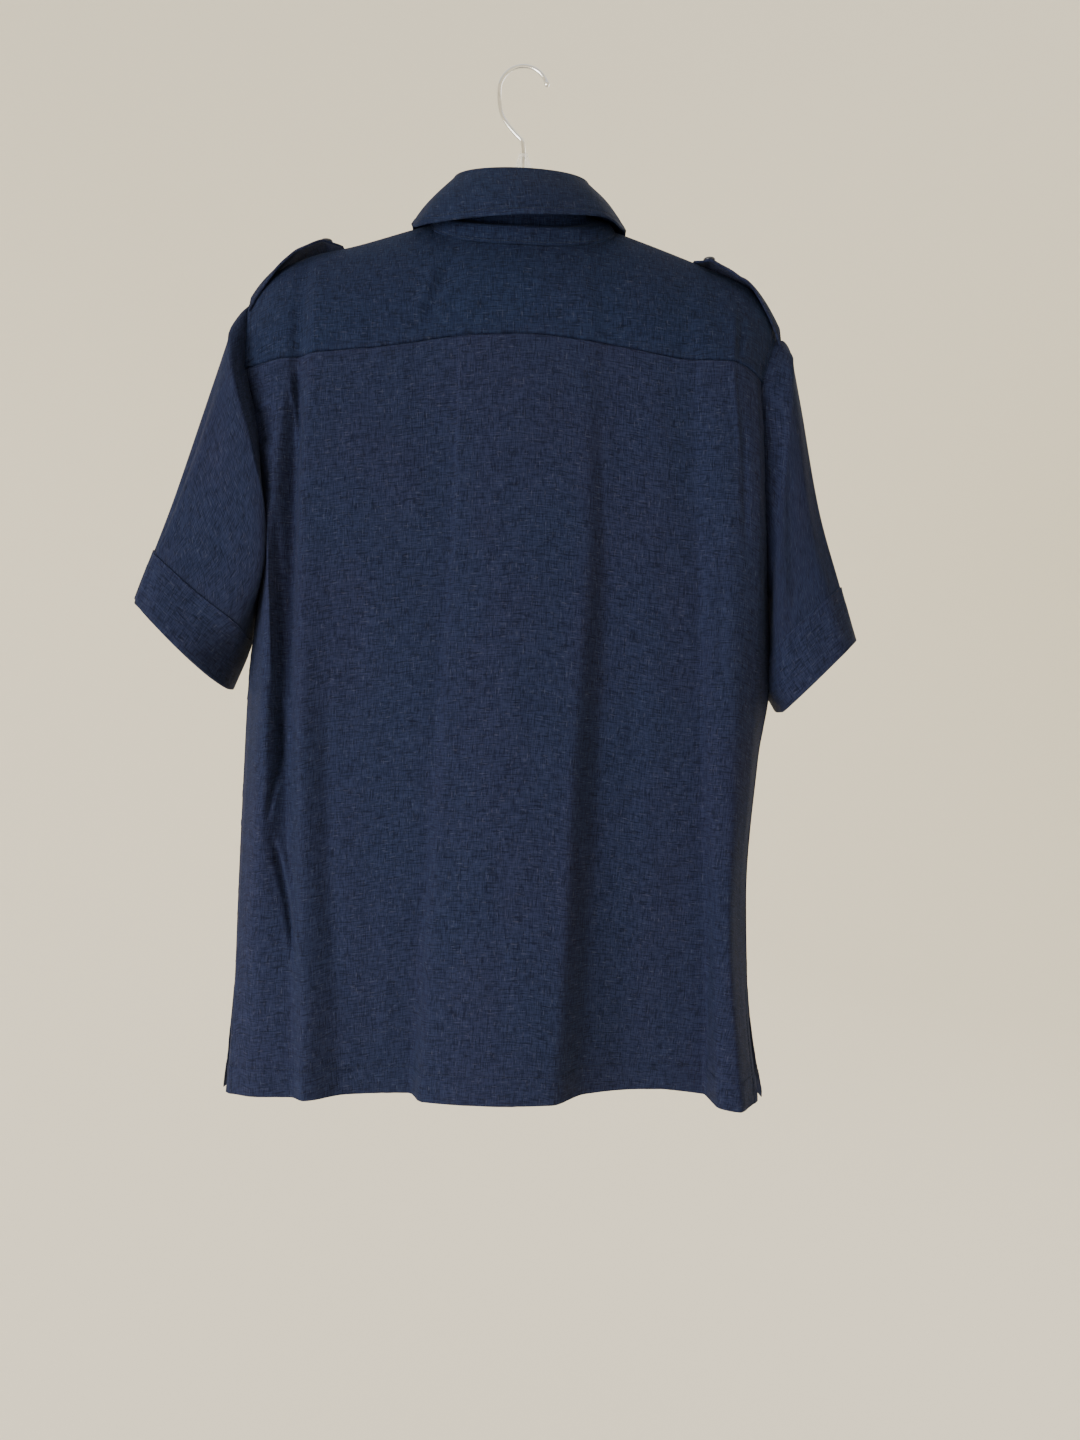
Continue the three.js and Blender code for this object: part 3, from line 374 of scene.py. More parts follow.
def back_place(t, z):
    """x of the column t (0 to GAPS, from the right edge to the left) at height z."""
    row, share = level_of(z)
    k = np.clip(np.floor(t).astype(int), 0, GAPS - 1)
    f = t - k

    def at_row(r):
        return lerp(TABLE_X[r, k], TABLE_X[r, k + 1], f)

    return lerp(at_row(row), at_row(row + 1), share)


def lattice_noise(u, v, seed):
    """Smooth noise from -1 to 1 over a plane, with cells of size 1."""
    rng = np.random.default_rng(seed)
    grid = rng.uniform(-1, 1, (64, 64))
    iu, iv = np.floor(u).astype(int), np.floor(v).astype(int)
    fu, fv = smooth(u - iu), smooth(v - iv)

    def at(a, b):
        return grid[(iu + a) % 64, (iv + b) % 64]

    return lerp(lerp(at(0, 0), at(1, 0), fu), lerp(at(0, 1), at(1, 1), fu), fv)


def creases(x, z, rows):
    """Height of the small creases at each point."""
    total = np.zeros(np.broadcast(x, z).shape)
    for x0, z0, x1, z1, width, height, bow in rows:
        dx, dz = x1 - x0, z1 - z0
        length = math.hypot(dx, dz)
        along = ((x - x0) * dx + (z - z0) * dz) / length**2
        across = ((x - x0) * dz - (z - z0) * dx) / length
        bent = np.clip(along, 0, 1)
        across = across - bow * 4 * bent * (1 - bent)
        fade = smooth(along / 0.28) * smooth((1 - along) / 0.34)
        total = total + height * np.exp(-((across / width) ** 2)) * fade
    return total


def hang(x, z, seed):
    """Broad unevenness of hanging cloth, longer down than across."""
    broad = lattice_noise(x / 46 + 7, z / 150 + 9, seed)
    fine = lattice_noise(x / 19 + 3, z / 64 + 5, seed + 1)
    return 0.9 * broad + 0.35 * fine


def settings():
    return bpy.context.scene.shirt_cloth


def back_depth(x, z, rows=BACK_CREASES):
    drape = settings().crease_height
    full = back_full(x, z) + drape * (creases(x, z, rows) + hang(x, z, 11))
    return full * roll(x, z)


def front_full(x, z):
    left, right = edge_x(LEFT, -1, z), edge_x(RIGHT, -1, z)
    across = np.clip((2 * x - left - right) / (left - right), -1, 1)
    edge = np.where(across > 0, edge_y(LEFT, z), edge_y(RIGHT, z))
    bulge = (1 - np.abs(across) ** FRONT_SQUARE) ** (1 / FRONT_SQUARE)
    depth = lerp(edge, FRONT_DEPTH, bulge)
    high, low = FRONT_FOLD_HEIGHTS
    for top, hem_x, width, deep, start in FRONT_FOLDS:
        place = lerp(top, hem_x, np.clip((high - z) / (high - low), 0, 1))
        fade = smooth((start - z) / FOLD_FADE)
        depth = depth - deep * np.exp(-(((x - place) / width) ** 2)) * fade * (1 - across**4)
    return depth


def front_depth(x, z):
    drape = settings().crease_height
    full = front_full(x, z) + drape * (creases(x, z, FRONT_CREASES) + hang(x, z, 23))
    return -full * roll(x, z)


def hollowed(x, y, z):
    """Draws the right end of the back and yoke in to the hollowed armhole."""
    share = np.clip((HOLLOW_FROM - x) / (HOLLOW_FROM + SHOULDER_END[RIGHT]["edge"]), 0, 1) ** 2 * (y > 0)
    inward = through(HOLLOW[:, 0], HOLLOW[:, 1], z)
    return x + inward * share, y + 0.35 * inward * share


def yoke_seam(x):
    return through(YOKE_SEAM[:, 0], YOKE_SEAM[:, 1], x)


def hem(x):
    return HEM["z"] + HEM["right_slope"] * np.minimum(0, x - HEM["right_start"])


def centre_x(z):
    return through(CENTRE[:, 0], CENTRE[:, 1], z)


def neck_height(angle):
    turn = np.radians(angle)
    forward = np.abs(angle) > 90
    drop = np.where(forward, NECK["front_drop"], NECK["back_drop"])
    power = np.where(forward, NECK["front_power"], NECK["back_power"])
    return NECK["side"] + LEAN * NECK["half"] * np.sin(turn) - drop * np.abs(np.cos(turn)) ** power


def neck_points(angle):
    x = NECK["half"] * np.sin(np.radians(angle))
    z = neck_height(angle)
    y = np.where(np.abs(angle) > 90, front_depth(x, z), back_depth(x, z, YOKE_CREASES))
    return np.stack([x, y, z], axis=-1)


# Grids of points and the cloth made on them


def spacing(count, fine=()):
    """Shares from 0 to 1, closer together round the places in fine (place, gain, width)."""
    t = np.linspace(0, 1, 4001)
    density = np.ones_like(t)
    for place, gain, width in fine:
        density += gain * np.exp(-(((t - place) / width) ** 2))
    run = np.concatenate([[0], np.cumsum((density[1:] + density[:-1]) / 2)])
    return np.interp(np.linspace(0, run[-1], count + 1), run, t)


def grid_normals(grid, closed=False):
    if closed:
        across = np.roll(grid, -1, axis=0) - np.roll(grid, 1, axis=0)
    else:
        across = np.gradient(grid, axis=0)
    down = np.gradient(grid, axis=1)
    across /= np.maximum(np.linalg.norm(across, axis=-1, keepdims=True), 1e-9)
    down /= np.maximum(np.linalg.norm(down, axis=-1, keepdims=True), 1e-9)
    normal = np.cross(across, down)
    return normal / np.maximum(np.linalg.norm(normal, axis=-1, keepdims=True), 1e-9)


def run_from(grid, edge):
    """Distance in the cloth of every point from an edge: top, foot, first or last column."""
    axis = 1 if edge in ("top", "foot") else 0
    flipped = edge in ("foot", "last")
    g = np.flip(grid, axis) if flipped else grid
    step = np.linalg.norm(np.diff(g, axis=axis), axis=-1)
    zero = np.zeros_like(step.take([0], axis=axis))
    run = np.concatenate([zero, np.cumsum(step, axis=axis)], axis=axis)
    return np.flip(run, axis) if flipped else run


def seam_line(grid, edge, distance, closed=False, start=0.0, stop=1.0):
    """The points on a grid that lie a distance in from an edge."""
    run = run_from(grid, edge)
    if edge in ("top", "foot"):
        rows = range(grid.shape[0])
        lines = [(run[i], grid[i]) for i in rows]
    else:
        rows = range(grid.shape[1])
        lines = [(run[:, j], grid[:, j]) for j in rows]
    points = []
    for distances, places in lines:
        order = np.argsort(distances)
        points.append([np.interp(distance, distances[order], places[order, k]) for k in range(3)])
    points = np.array(points)
    first, last = int(start * (len(points) - 1)), int(stop * (len(points) - 1))
    points = points[first:last + 1]
    return np.concatenate([points, points[:1]]) if closed else points


def sewn(grid, edge, at, outward, raised=0.3, groove=0.35, pucker=0.25, closed=False, where=None, seed=5):
    """Cloth turned under at an edge: raised as far as its stitch line, sunk and puckered along it."""
    normal = grid_normals(grid, closed) * outward
    run = run_from(grid, edge)
    along_axis = 0 if edge in ("top", "foot") else 1
    step = np.linalg.norm(np.diff(grid, axis=along_axis), axis=-1)
    zero = np.zeros_like(step.take([0], axis=along_axis))
    along = np.concatenate([zero, np.cumsum(step, axis=along_axis)], axis=along_axis)
    lift = raised * smooth((at + 0.8 - run) / 1.6)
    lift = lift - groove * np.exp(-(((run - at) / 1.1) ** 2))
    wave = lattice_noise(along / 6.5, run / 9 + along / 22, seed)
    wave = wave + 0.6 * lattice_noise(along / 3.4, run / 7, seed + 2)
    lift = lift + pucker * wave * np.exp(-(((run - at * 0.6) / (at * 0.9 + 2.5)) ** 2))
    if where is not None:
        lift = lift * where
    return grid + normal * lift[..., None]


def stitch(group, grid, edge, at, outward, closed=False, start=0.0, stop=1.0, lift=0.16):
    """Notes a stitch line on the grid, to be sewn once all the pieces are made."""
    normal = grid_normals(grid, closed) * outward
    SEAMS.append((group, seam_line(grid + normal * lift, edge, at, closed, start, stop)))


def cloth_mesh(name, grid, wall, outward=1, closed=False, grain=None):
    """Closed thin mesh with its outside on the grid and a rounded rim, with its cut laid out as UV.

    grain gives the places in the cut, where the grid's own lines don't follow the threads.
    """
    columns, rows = grid.shape[:2]
    wall = np.broadcast_to(np.asarray(wall, float), (columns, rows))
    normal = grid_normals(grid, closed) * outward
    inner = grid - normal * wall[..., None]
    u = run_from(grid, "first")
    if closed:
        gap = np.linalg.norm(grid[0] - grid[-1], axis=-1)
        u = np.concatenate([u, (u[-1] + gap)[None]])
        u = u.mean(axis=1, keepdims=True) + np.zeros((1, rows))
    else:
        u = u - u[columns // 2]
    v = run_from(grid, "top")
    if grain is not None:
        u, v = grain
    v = np.concatenate([v, v[:1]]) if closed else v
    ids = np.arange(columns * rows).reshape(columns, rows)
    verts = [grid.reshape(-1, 3), inner.reshape(-1, 3)]
    wrap = np.concatenate([ids, ids[:1]]) if closed else ids
    faces, corners = [], []

    def quads(index, uu, vv, flip):
        a = [index[:-1, :-1], index[:-1, 1:], index[1:, 1:], index[1:, :-1]]
        cu = [uu[:-1, :-1], uu[:-1, 1:], uu[1:, 1:], uu[1:, :-1]]
        cv = [vv[:-1, :-1], vv[:-1, 1:], vv[1:, 1:], vv[1:, :-1]]
        order = (3, 2, 1, 0) if flip else (0, 1, 2, 3)
        faces.append(np.stack([a[k].ravel() for k in order], axis=1))
        corners.append(np.stack([np.stack([cu[k].ravel(), cv[k].ravel()], axis=1) for k in order], axis=1))

    quads(wrap, u, v, False)
    quads(wrap + columns * rows, u, v, True)

    def rim(line, line_u, line_v, inside, cyclic):
        """Rounds the edge over a row of outer points; inside holds their neighbours."""
        nonlocal verts
        base = sum(len(p) for p in verts)
        flat_grid, flat_inner = grid.reshape(-1, 3), inner.reshape(-1, 3)
        own = line[:-1] if cyclic else line
        near = inside[:-1] if cyclic else inside
        out = flat_grid[own] - flat_grid[near]
        out /= np.maximum(np.linalg.norm(out, axis=1, keepdims=True), 1e-9)
        thick = wall.reshape(-1)[own]
        middle = (flat_grid[own] + flat_inner[own]) / 2 + out * (thick * 0.42)[:, None]
        verts.append(middle)
        mids = base + np.arange(len(own))
        mids = np.concatenate([mids, mids[:1]]) if cyclic else mids
        for upper, lower in ((line, mids), (mids, line + columns * rows)):
            faces.append(np.stack([upper[:-1], upper[1:], lower[1:], lower[:-1]], axis=1))
            flat = np.stack([line_u, line_v], axis=1)
            corners.append(np.stack([flat[:-1], flat[1:], flat[1:], flat[:-1]], axis=1))

    if closed:
        for j, near in ((0, 1), (rows - 1, rows - 2)):
            line, inside = wrap[:, j], wrap[:, near]
            if j == 0:
                rim(line, u[:, j], v[:, j], inside, True)
            else:
                rim(line[::-1], u[::-1, j], v[::-1, j], inside[::-1], True)
        rim_ids = np.concatenate([ids[:, 0], ids[:, -1]])
    else:
        path = [(i, 0) for i in range(columns)] + [(columns - 1, j) for j in range(1, rows)]
        path += [(i, rows - 1) for i in range(columns - 2, -1, -1)]
        path += [(0, j) for j in range(rows - 2, -1, -1)]
        at = np.array(path)
        toward = np.stack([np.clip(at[:, 0], 1, columns - 2), np.clip(at[:, 1], 1, rows - 2)], axis=1)
        line, inside = ids[at[:, 0], at[:, 1]], ids[toward[:, 0], toward[:, 1]]
        rim(line, u[at[:, 0], at[:, 1]], v[at[:, 0], at[:, 1]], inside, True)
        rim_ids = np.unique(line)

    points = np.concatenate(verts)
    quad = np.concatenate(faces)
    uv = np.concatenate(corners) * MM
    a, b, c, d = (points[quad[:, k]] for k in range(4))
    volume = (a * np.cross(b, c)).sum() + (a * np.cross(c, d)).sum()
    if volume < 0:
        quad, uv = quad[:, ::-1], uv[:, ::-1]
    mesh = bpy.data.meshes.new(name)
    mesh.from_pydata((points * MM).tolist(), [], quad.tolist())
    mesh.uv_layers.new(name="cut").data.foreach_set("uv", uv.reshape(-1))
    mesh.polygons.foreach_set("use_smooth", np.ones(len(quad), bool))
    on_rim = np.zeros(len(points), bool)
    on_rim[rim_ids] = True
    on_rim[rim_ids + columns * rows] = True
    pairs = np.zeros(len(mesh.edges) * 2, np.int32)
    mesh.edges.foreach_get("vertices", pairs)
    pairs = pairs.reshape(-1, 2)
    sharp = on_rim[pairs[:, 0]] & on_rim[pairs[:, 1]]
    mesh.attributes.new("sharp_edge", "BOOLEAN", "EDGE").data.foreach_set("value", sharp)
    mesh.update()
    return mesh


def place(name, mesh, material, slot, nodes=()):
    """Puts a finished mesh in the scene, on the part's one body."""
    old = bpy.data.objects.get(name)
    if old is not None:
        bpy.data.objects.remove(old)
    mesh.materials.clear()
    mesh.materials.append(material)
    obj = bpy.data.objects.new(name, mesh)
    bpy.context.scene.collection.objects.link(obj)
    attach(obj, "root")
    if nodes:
        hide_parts(*nodes)
    return obj


def sew_piece(name, grid, wall, cut, nodes, outward=1, closed=False, grain=None):
    """Makes one piece of cloth, in the material that its cut calls for."""
    mesh = cloth_mesh(name, grid, wall, outward, closed, grain)
    # the yoke and collar pieces get the copy of the cloth with painted shade
    obj = place(name, mesh, chambray(cut in ("yoke", "collar", "collar_stand")), "cloth", nodes)
    return obj


# Materials


def new_material(name):
    old = bpy.data.materials.get(name)
    if old is not None:
        return old, None
    material = bpy.data.materials.new(name)
    material.use_nodes = True
    material.node_tree.nodes.clear()
    return material, Nodes(material.node_tree)


class Nodes:
    """Short way to add linked nodes to a tree."""

    def __init__(self, tree):
        self.tree = tree

    def add(self, kind, options=None, **inputs):
        node = self.tree.nodes.new(kind)
        for key, value in (options or {}).items():
            setattr(node, key, value)
        for key, value in inputs.items():
            self.feed(node, key.replace("_", " "), value)
        return node

    def feed(self, node, key, value):
        socket = node.inputs[int(key)] if key.isdigit() else node.inputs[key]
        if isinstance(value, bpy.types.NodeSocket):
            self.tree.links.new(value, socket)
        else:
            socket.default_value = value

    def math(self, operation, a, b=0.0, clamp=False):
        node = self.tree.nodes.new("ShaderNodeMath")
        node.operation = operation
        node.use_clamp = clamp
        self.feed(node, "0", a)
        self.feed(node, "1", b)
        return node.outputs[0]

    def mix(self, factor, a, b, blend="MIX"):
        node = self.tree.nodes.new("ShaderNodeMix")
        node.data_type = "RGBA"
        node.blend_type = blend
        self.feed(node, "0", factor)
        self.feed(node, "6", a)
        self.feed(node, "7", b)
        return node.outputs[2]

    def ramp(self, value, low, high):
        node = self.tree.nodes.new("ShaderNodeMapRange")
        node.interpolation_type = "SMOOTHSTEP"
        for key, number in (("From Min", low), ("From Max", high)):
            node.inputs[key].default_value = number
        self.feed(node, "Value", value)
        return node.outputs[0]

    def noise(self, vector, scale, detail=2.0, roughness=0.5):
        mapping = self.add("ShaderNodeMapping", Vector=vector, Scale=scale)
        node = self.add(
            "ShaderNodeTexNoise", {"noise_dimensions": "2D"}, Vector=mapping.outputs[0],
            Scale=1.0, Detail=detail, Roughness=roughness,
        )
        return node.outputs[0]


def chambray(shaded_top=False):
    """Plain-woven navy chambray: dark warp, paler weft, uneven threads and slubs both ways.

    The yoke and the collar, which face upward, take a darker tint: painted shade.
    """
    material, n = new_material("navy_chambray_painted_shade" if shaded_top else "navy_chambray")
    if n is None:
        return material
    cloth = settings()
    # painted shade: this tint darkens the upward-facing yoke and collar
    shade = cloth.painted_top_shade if shaded_top else (1.0, 1.0, 1.0)
    uv = n.add("ShaderNodeUVMap", {"uv_map": "cut"}).outputs[0]
    pitch = cloth.thread_pitch

    # Single threads: a plain weave shows warp and weft in turn
    split = n.add("ShaderNodeSeparateXYZ", Vector=uv)
    along_u = n.math("SINE", n.math("MULTIPLY", split.outputs[0], math.pi / pitch))
    along_v = n.math("SINE", n.math("MULTIPLY", split.outputs[1], math.pi / pitch))
    weave = n.math("MULTIPLY", along_u, along_v)
    over = n.ramp(weave, -0.35, 0.35)

    # Threads that thicken and thin along their length, both ways
    down = n.ramp(n.noise(uv, (860, 66, 1), 2.0, 0.55), 0.41, 0.61)
    across = n.ramp(n.noise(uv, (62, 820, 1), 2.0, 0.55), 0.41, 0.61)
    fine_down = n.ramp(n.noise(uv, (1700, 150, 1), 1.0), 0.36, 0.64)
    fine_across = n.ramp(n.noise(uv, (140, 1600, 1), 1.0), 0.36, 0.64)
    threads = n.math("ADD", n.math("MULTIPLY", down, 0.5), n.math("MULTIPLY", across, 0.5))
    fine = n.math("ADD", n.math("MULTIPLY", fine_down, 0.5), n.math("MULTIPLY", fine_across, 0.5))
    tone = n.math("ADD", n.math("MULTIPLY", threads, 0.5), n.math("MULTIPLY", fine, 0.5))

    # Slubs: short dark and pale thickenings
    slub_down = n.ramp(n.noise(uv, (620, 80, 1), 1.5), 0.6, 0.72)
    slub_across = n.ramp(n.noise(uv, (74, 560, 1), 1.5), 0.6, 0.72)
    dark_slub = n.math("MAXIMUM", slub_down, slub_across)
    pale_down = n.ramp(n.noise(uv, (760, 120, 1), 1.0), 0.7, 0.8)
    pale_across = n.ramp(n.noise(uv, (110, 700, 1), 1.0), 0.7, 0.8)
    pale_slub = n.math("MAXIMUM", pale_down, pale_across)

    dyes = (cloth.warp_colour, cloth.weft_colour)
    navy, pale = ((*(a * b for a, b in zip(shade, dyed)), 1) for dyed in dyes)
    colour = n.mix(n.math("MULTIPLY", over, 0.35), navy, pale)
    colour = n.mix(tone, n.mix(0.55, colour, navy), pale)
    colour = n.mix(n.math("MULTIPLY", dark_slub, 0.55), colour, (0.0018, 0.0026, 0.008, 1))
    colour = n.mix(n.math("MULTIPLY", pale_slub, 0.34), colour, (0.050, 0.056, 0.095, 1))

    # Broad drift between a colder and a warmer blue, as the dye took
    drift = n.ramp(n.noise(uv, (11, 7, 1), 2.0), 0.3, 0.7)
    colder = n.mix(1.0, colour, (0.97, 1.0, 1.01, 1), "MULTIPLY")
    warmer = n.mix(1.0, colour, (1.05, 0.99, 1.0, 1), "MULTIPLY")
    colour = n.mix(drift, colder, warmer)

    height = n.math("ADD", n.math("MULTIPLY", weave, 0.35), n.math("MULTIPLY", tone, 0.9))
    height = n.math("ADD", height, n.math("MULTIPLY", dark_slub, 0.5))
    bump = n.add("ShaderNodeBump", Strength=0.55, Distance=0.00022, Height=height)
    rough = n.math("ADD", 0.8, n.math("MULTIPLY", tone, 0.12))
    shader = n.add(
        "ShaderNodeBsdfPrincipled", Base_Color=colour, Roughness=rough, Normal=bump.outputs[0],
        Sheen_Weight=0.02, Sheen_Roughness=0.5, Sheen_Tint=(0.5, 0.65, 1.0, 1), Specular_IOR_Level=0.08,
    )
    n.add("ShaderNodeOutputMaterial", Surface=shader.outputs[0])
    return material


def thread():
    """Twisted sewing thread, a little darker and smoother than the cloth."""
    material, n = new_material("navy_thread")
    if n is None:
        return material
    place_at = n.add("ShaderNodeTexCoord").outputs["Object"]
    wave = n.add(
        "ShaderNodeTexWave", {"wave_type": "BANDS", "bands_direction": "DIAGONAL"},
        Vector=place_at, Scale=900.0, Distortion=1.5, Detail=1.0,
    )
    twist = wave.outputs["Fac"]
    colour = n.mix(twist, (*settings().thread_colour, 1), (0.022, 0.028, 0.05, 1))
    bump = n.add("ShaderNodeBump", Strength=0.4, Distance=0.00008, Height=twist)
    shader = n.add(
        "ShaderNodeBsdfPrincipled", Base_Color=colour, Roughness=0.85, Normal=bump.outputs[0],
        Specular_IOR_Level=0.1,
    )
    n.add("ShaderNodeOutputMaterial", Surface=shader.outputs[0])
    return material


def button_resin():
    """Navy resin with faint swirls and scuffed highlights."""
    material, n = new_material("navy_resin")
    if n is None:
        return material
    place_at = n.add("ShaderNodeTexCoord").outputs["Object"]
    swirl = n.add("ShaderNodeTexNoise", Vector=place_at, Scale=260.0, Detail=3.0, Distortion=1.6).outputs[0]
    scuff = n.add("ShaderNodeTexNoise", Vector=place_at, Scale=1500.0, Detail=4.0).outputs[0]
    dark = (*bpy.context.scene.shirt_buttons.colour, 1)
    colour = n.mix(n.ramp(swirl, 0.35, 0.75), dark, (0.015, 0.02, 0.036, 1))
    rough = n.math("ADD", 0.24, n.math("MULTIPLY", n.ramp(scuff, 0.4, 0.75), 0.26))
    bump = n.add("ShaderNodeBump", Strength=0.12, Distance=0.0001, Height=scuff)
    shader = n.add(
        "ShaderNodeBsdfPrincipled", Base_Color=colour, Roughness=rough, Normal=bump.outputs[0],
        Coat_Weight=0.3, Coat_Roughness=0.18,
    )
    n.add("ShaderNodeOutputMaterial", Surface=shader.outputs[0])
    return material


def clear_plastic():
    """Clear moulded plastic with faint flow marks and handling scratches."""
    material, n = new_material("clear_plastic")
    if n is None:
        return material
    place_at = n.add("ShaderNodeTexCoord").outputs["Object"]
    flow = n.add("ShaderNodeTexNoise", Vector=place_at, Scale=45.0, Detail=2.0, Distortion=0.8).outputs[0]
    marks = n.add("ShaderNodeMapping", Vector=place_at, Scale=(60, 900, 1400)).outputs[0]
    scratch = n.add("ShaderNodeTexNoise", Vector=marks, Scale=1.0, Detail=2.0).outputs[0]
    height = n.math("ADD", flow, n.math("MULTIPLY", n.ramp(scratch, 0.62, 0.8), 0.3))
    bump = n.add("ShaderNodeBump", Strength=0.25, Distance=0.0006, Height=height)
    rough = n.math("ADD", 0.06, n.math("MULTIPLY", n.ramp(scratch, 0.55, 0.8), 0.14))
    colour = n.mix(flow, (0.93, 0.95, 0.94, 1), (0.98, 0.98, 0.96, 1))
    shader = n.add(
        "ShaderNodeBsdfPrincipled", Base_Color=colour, Roughness=rough, Normal=bump.outputs[0],
        Transmission_Weight=0.82, IOR=1.49,
    )
    n.add("ShaderNodeOutputMaterial", Surface=shader.outputs[0])
    return material


def polished_steel():
    """Drawn and plated wire, with a faint uneven film and dull spots."""
    material, n = new_material("polished_steel")
    if n is None:
        return material
    place_at = n.add("ShaderNodeTexCoord").outputs["Object"]
    spots = n.add("ShaderNodeTexNoise", Vector=place_at, Scale=420.0, Detail=4.0).outputs[0]
    film = n.add("ShaderNodeTexNoise", Vector=place_at, Scale=70.0, Detail=2.0).outputs[0]
    rough = n.math("ADD", 0.1, n.math("MULTIPLY", n.ramp(spots, 0.5, 0.8), 0.2))
    colour = n.mix(n.ramp(film, 0.35, 0.7), (0.72, 0.73, 0.75, 1), (0.60, 0.60, 0.60, 1))
    bump = n.add("ShaderNodeBump", Strength=0.08, Distance=0.0001, Height=spots)
    shader = n.add(
        "ShaderNodeBsdfPrincipled", Base_Color=colour, Roughness=rough, Normal=bump.outputs[0],
        Metallic=1.0,
    )
    n.add("ShaderNodeOutputMaterial", Surface=shader.outputs[0])
    return material


def plain_wall():
    """Pale, warm, matt studio ground."""
    material, n = new_material("studio_ground")
    if n is None:
        return material
    place_at = n.add("ShaderNodeTexCoord").outputs["Object"]
    grain = n.add("ShaderNodeTexNoise", Vector=place_at, Scale=3.0, Detail=3.0).outputs[0]
    stage = bpy.context.scene.shirt_stage
    colour = n.mix(n.math("MULTIPLY", grain, 0.05), (*stage.ground_colour, 1), (0.88, 0.85, 0.76, 1))
    shader = n.add("ShaderNodeBsdfPrincipled", Base_Color=colour, Roughness=0.95, Specular_IOR_Level=0.1)
    n.add("ShaderNodeOutputMaterial", Surface=shader.outputs[0])
    return material


# Geometry node trees


def node_group(name, sockets):
    """A new geometry tree with a Geometry input and output and the named inputs."""
    old = bpy.data.node_groups.get(name)
    if old is not None:
        bpy.data.node_groups.remove(old)
    tree = bpy.data.node_groups.new(name, "GeometryNodeTree")
    tree.interface.new_socket("Geometry", in_out="INPUT", socket_type="NodeSocketGeometry")
    for label, kind in sockets:
        tree.interface.new_socket(label, in_out="INPUT", socket_type=kind)
    tree.interface.new_socket("Geometry", in_out="OUTPUT", socket_type="NodeSocketGeometry")
    start = tree.nodes.new("NodeGroupInput")
    end = tree.nodes.new("NodeGroupOutput")
    return tree, Nodes(tree), start.outputs, end


def grow(name, mesh, tree, values):
    """Runs a tree on a mesh and gives back the plain mesh that it makes."""
    source = bpy.data.objects.new(name + "_source", mesh)
    bpy.context.scene.collection.objects.link(source)
    modifier = source.modifiers.new("grow", "NODES")
    modifier.node_group = tree
    by_label = {s.name: s.identifier for s in tree.interface.items_tree if s.in_out == "INPUT"}
    for label, value in values.items():
        modifier[by_label[label]] = value
    source.update_tag()
    graph = bpy.context.evaluated_depsgraph_get()
    made = bpy.data.meshes.new_from_object(source.evaluated_get(graph), depsgraph=graph)
    source.modifiers.remove(modifier)
    bpy.data.objects.remove(source)
    if not len(made.polygons):
        raise RuntimeError(name + " came out empty")
    made.name = name
    return made


def stitch_tree():
    """Rounded stitches laid end to end along lines."""
    tree, n, given, end = node_group("stitches", (
        ("Stitch Length", "NodeSocketFloat"), ("Stitch Gap", "NodeSocketFloat"),
        ("Thread Radius", "NodeSocketFloat"), ("Thread", "NodeSocketMaterial"),
    ))
    step = n.math("ADD", given["Stitch Length"], given["Stitch Gap"])
    line = n.add("GeometryNodeMeshToCurve", Mesh=given["Geometry"])
    even = n.add("GeometryNodeResampleCurve", {"mode": "LENGTH"}, Curve=line.outputs[0], Length=step)
    one = n.add(
        "GeometryNodeMeshCylinder", {"fill_type": "NGON"}, Vertices=6, Side_Segments=1,
        Radius=given["Thread Radius"], Depth=given["Stitch Length"],
    )
    along = n.add("GeometryNodeInputTangent")
    turned = n.add("FunctionNodeAlignRotationToVector", {"axis": "Z"}, Vector=along.outputs[0])
    laid = n.add(
        "GeometryNodeInstanceOnPoints", Points=even.outputs[0], Instance=one.outputs["Mesh"],
        Rotation=turned.outputs[0],
    )
    real = n.add("GeometryNodeRealizeInstances", Geometry=laid.outputs[0])
    round_off = n.add("GeometryNodeSetShadeSmooth", Geometry=real.outputs[0], Shade_Smooth=True)
    done = n.add("GeometryNodeSetMaterial", Geometry=round_off.outputs[0], Material=given["Thread"])
    n.feed(end, "0", done.outputs[0])
    return tree


def wire_tree():
    """Round wire along a line whose points hold its radius."""
    tree, n, given, end = node_group("wire", (
        ("Sides", "NodeSocketInt"), ("Metal", "NodeSocketMaterial"),
    ))
    line = n.add("GeometryNodeMeshToCurve", Mesh=given["Geometry"])
    radius = n.add("GeometryNodeInputNamedAttribute", {"data_type": "FLOAT"}, Name="radius_along")
    sized = n.add("GeometryNodeSetCurveRadius", Curve=line.outputs[0], Radius=radius.outputs[0])
    ring = n.add("GeometryNodeCurvePrimitiveCircle", Resolution=given["Sides"], Radius=1.0)
    swept = n.add(
        "GeometryNodeCurveToMesh", Curve=sized.outputs[0], Profile_Curve=ring.outputs[0], Fill_Caps=True,
    )
    if "Scale" in swept.inputs:
        n.feed(swept, "Scale", radius.outputs[0])
    round_off = n.add("GeometryNodeSetShadeSmooth", Geometry=swept.outputs[0], Shade_Smooth=True)
    real = n.add("GeometryNodeRealizeInstances", Geometry=round_off.outputs[0])
    done = n.add("GeometryNodeSetMaterial", Geometry=real.outputs[0], Material=given["Metal"])
    n.feed(end, "0", done.outputs[0])
    return tree


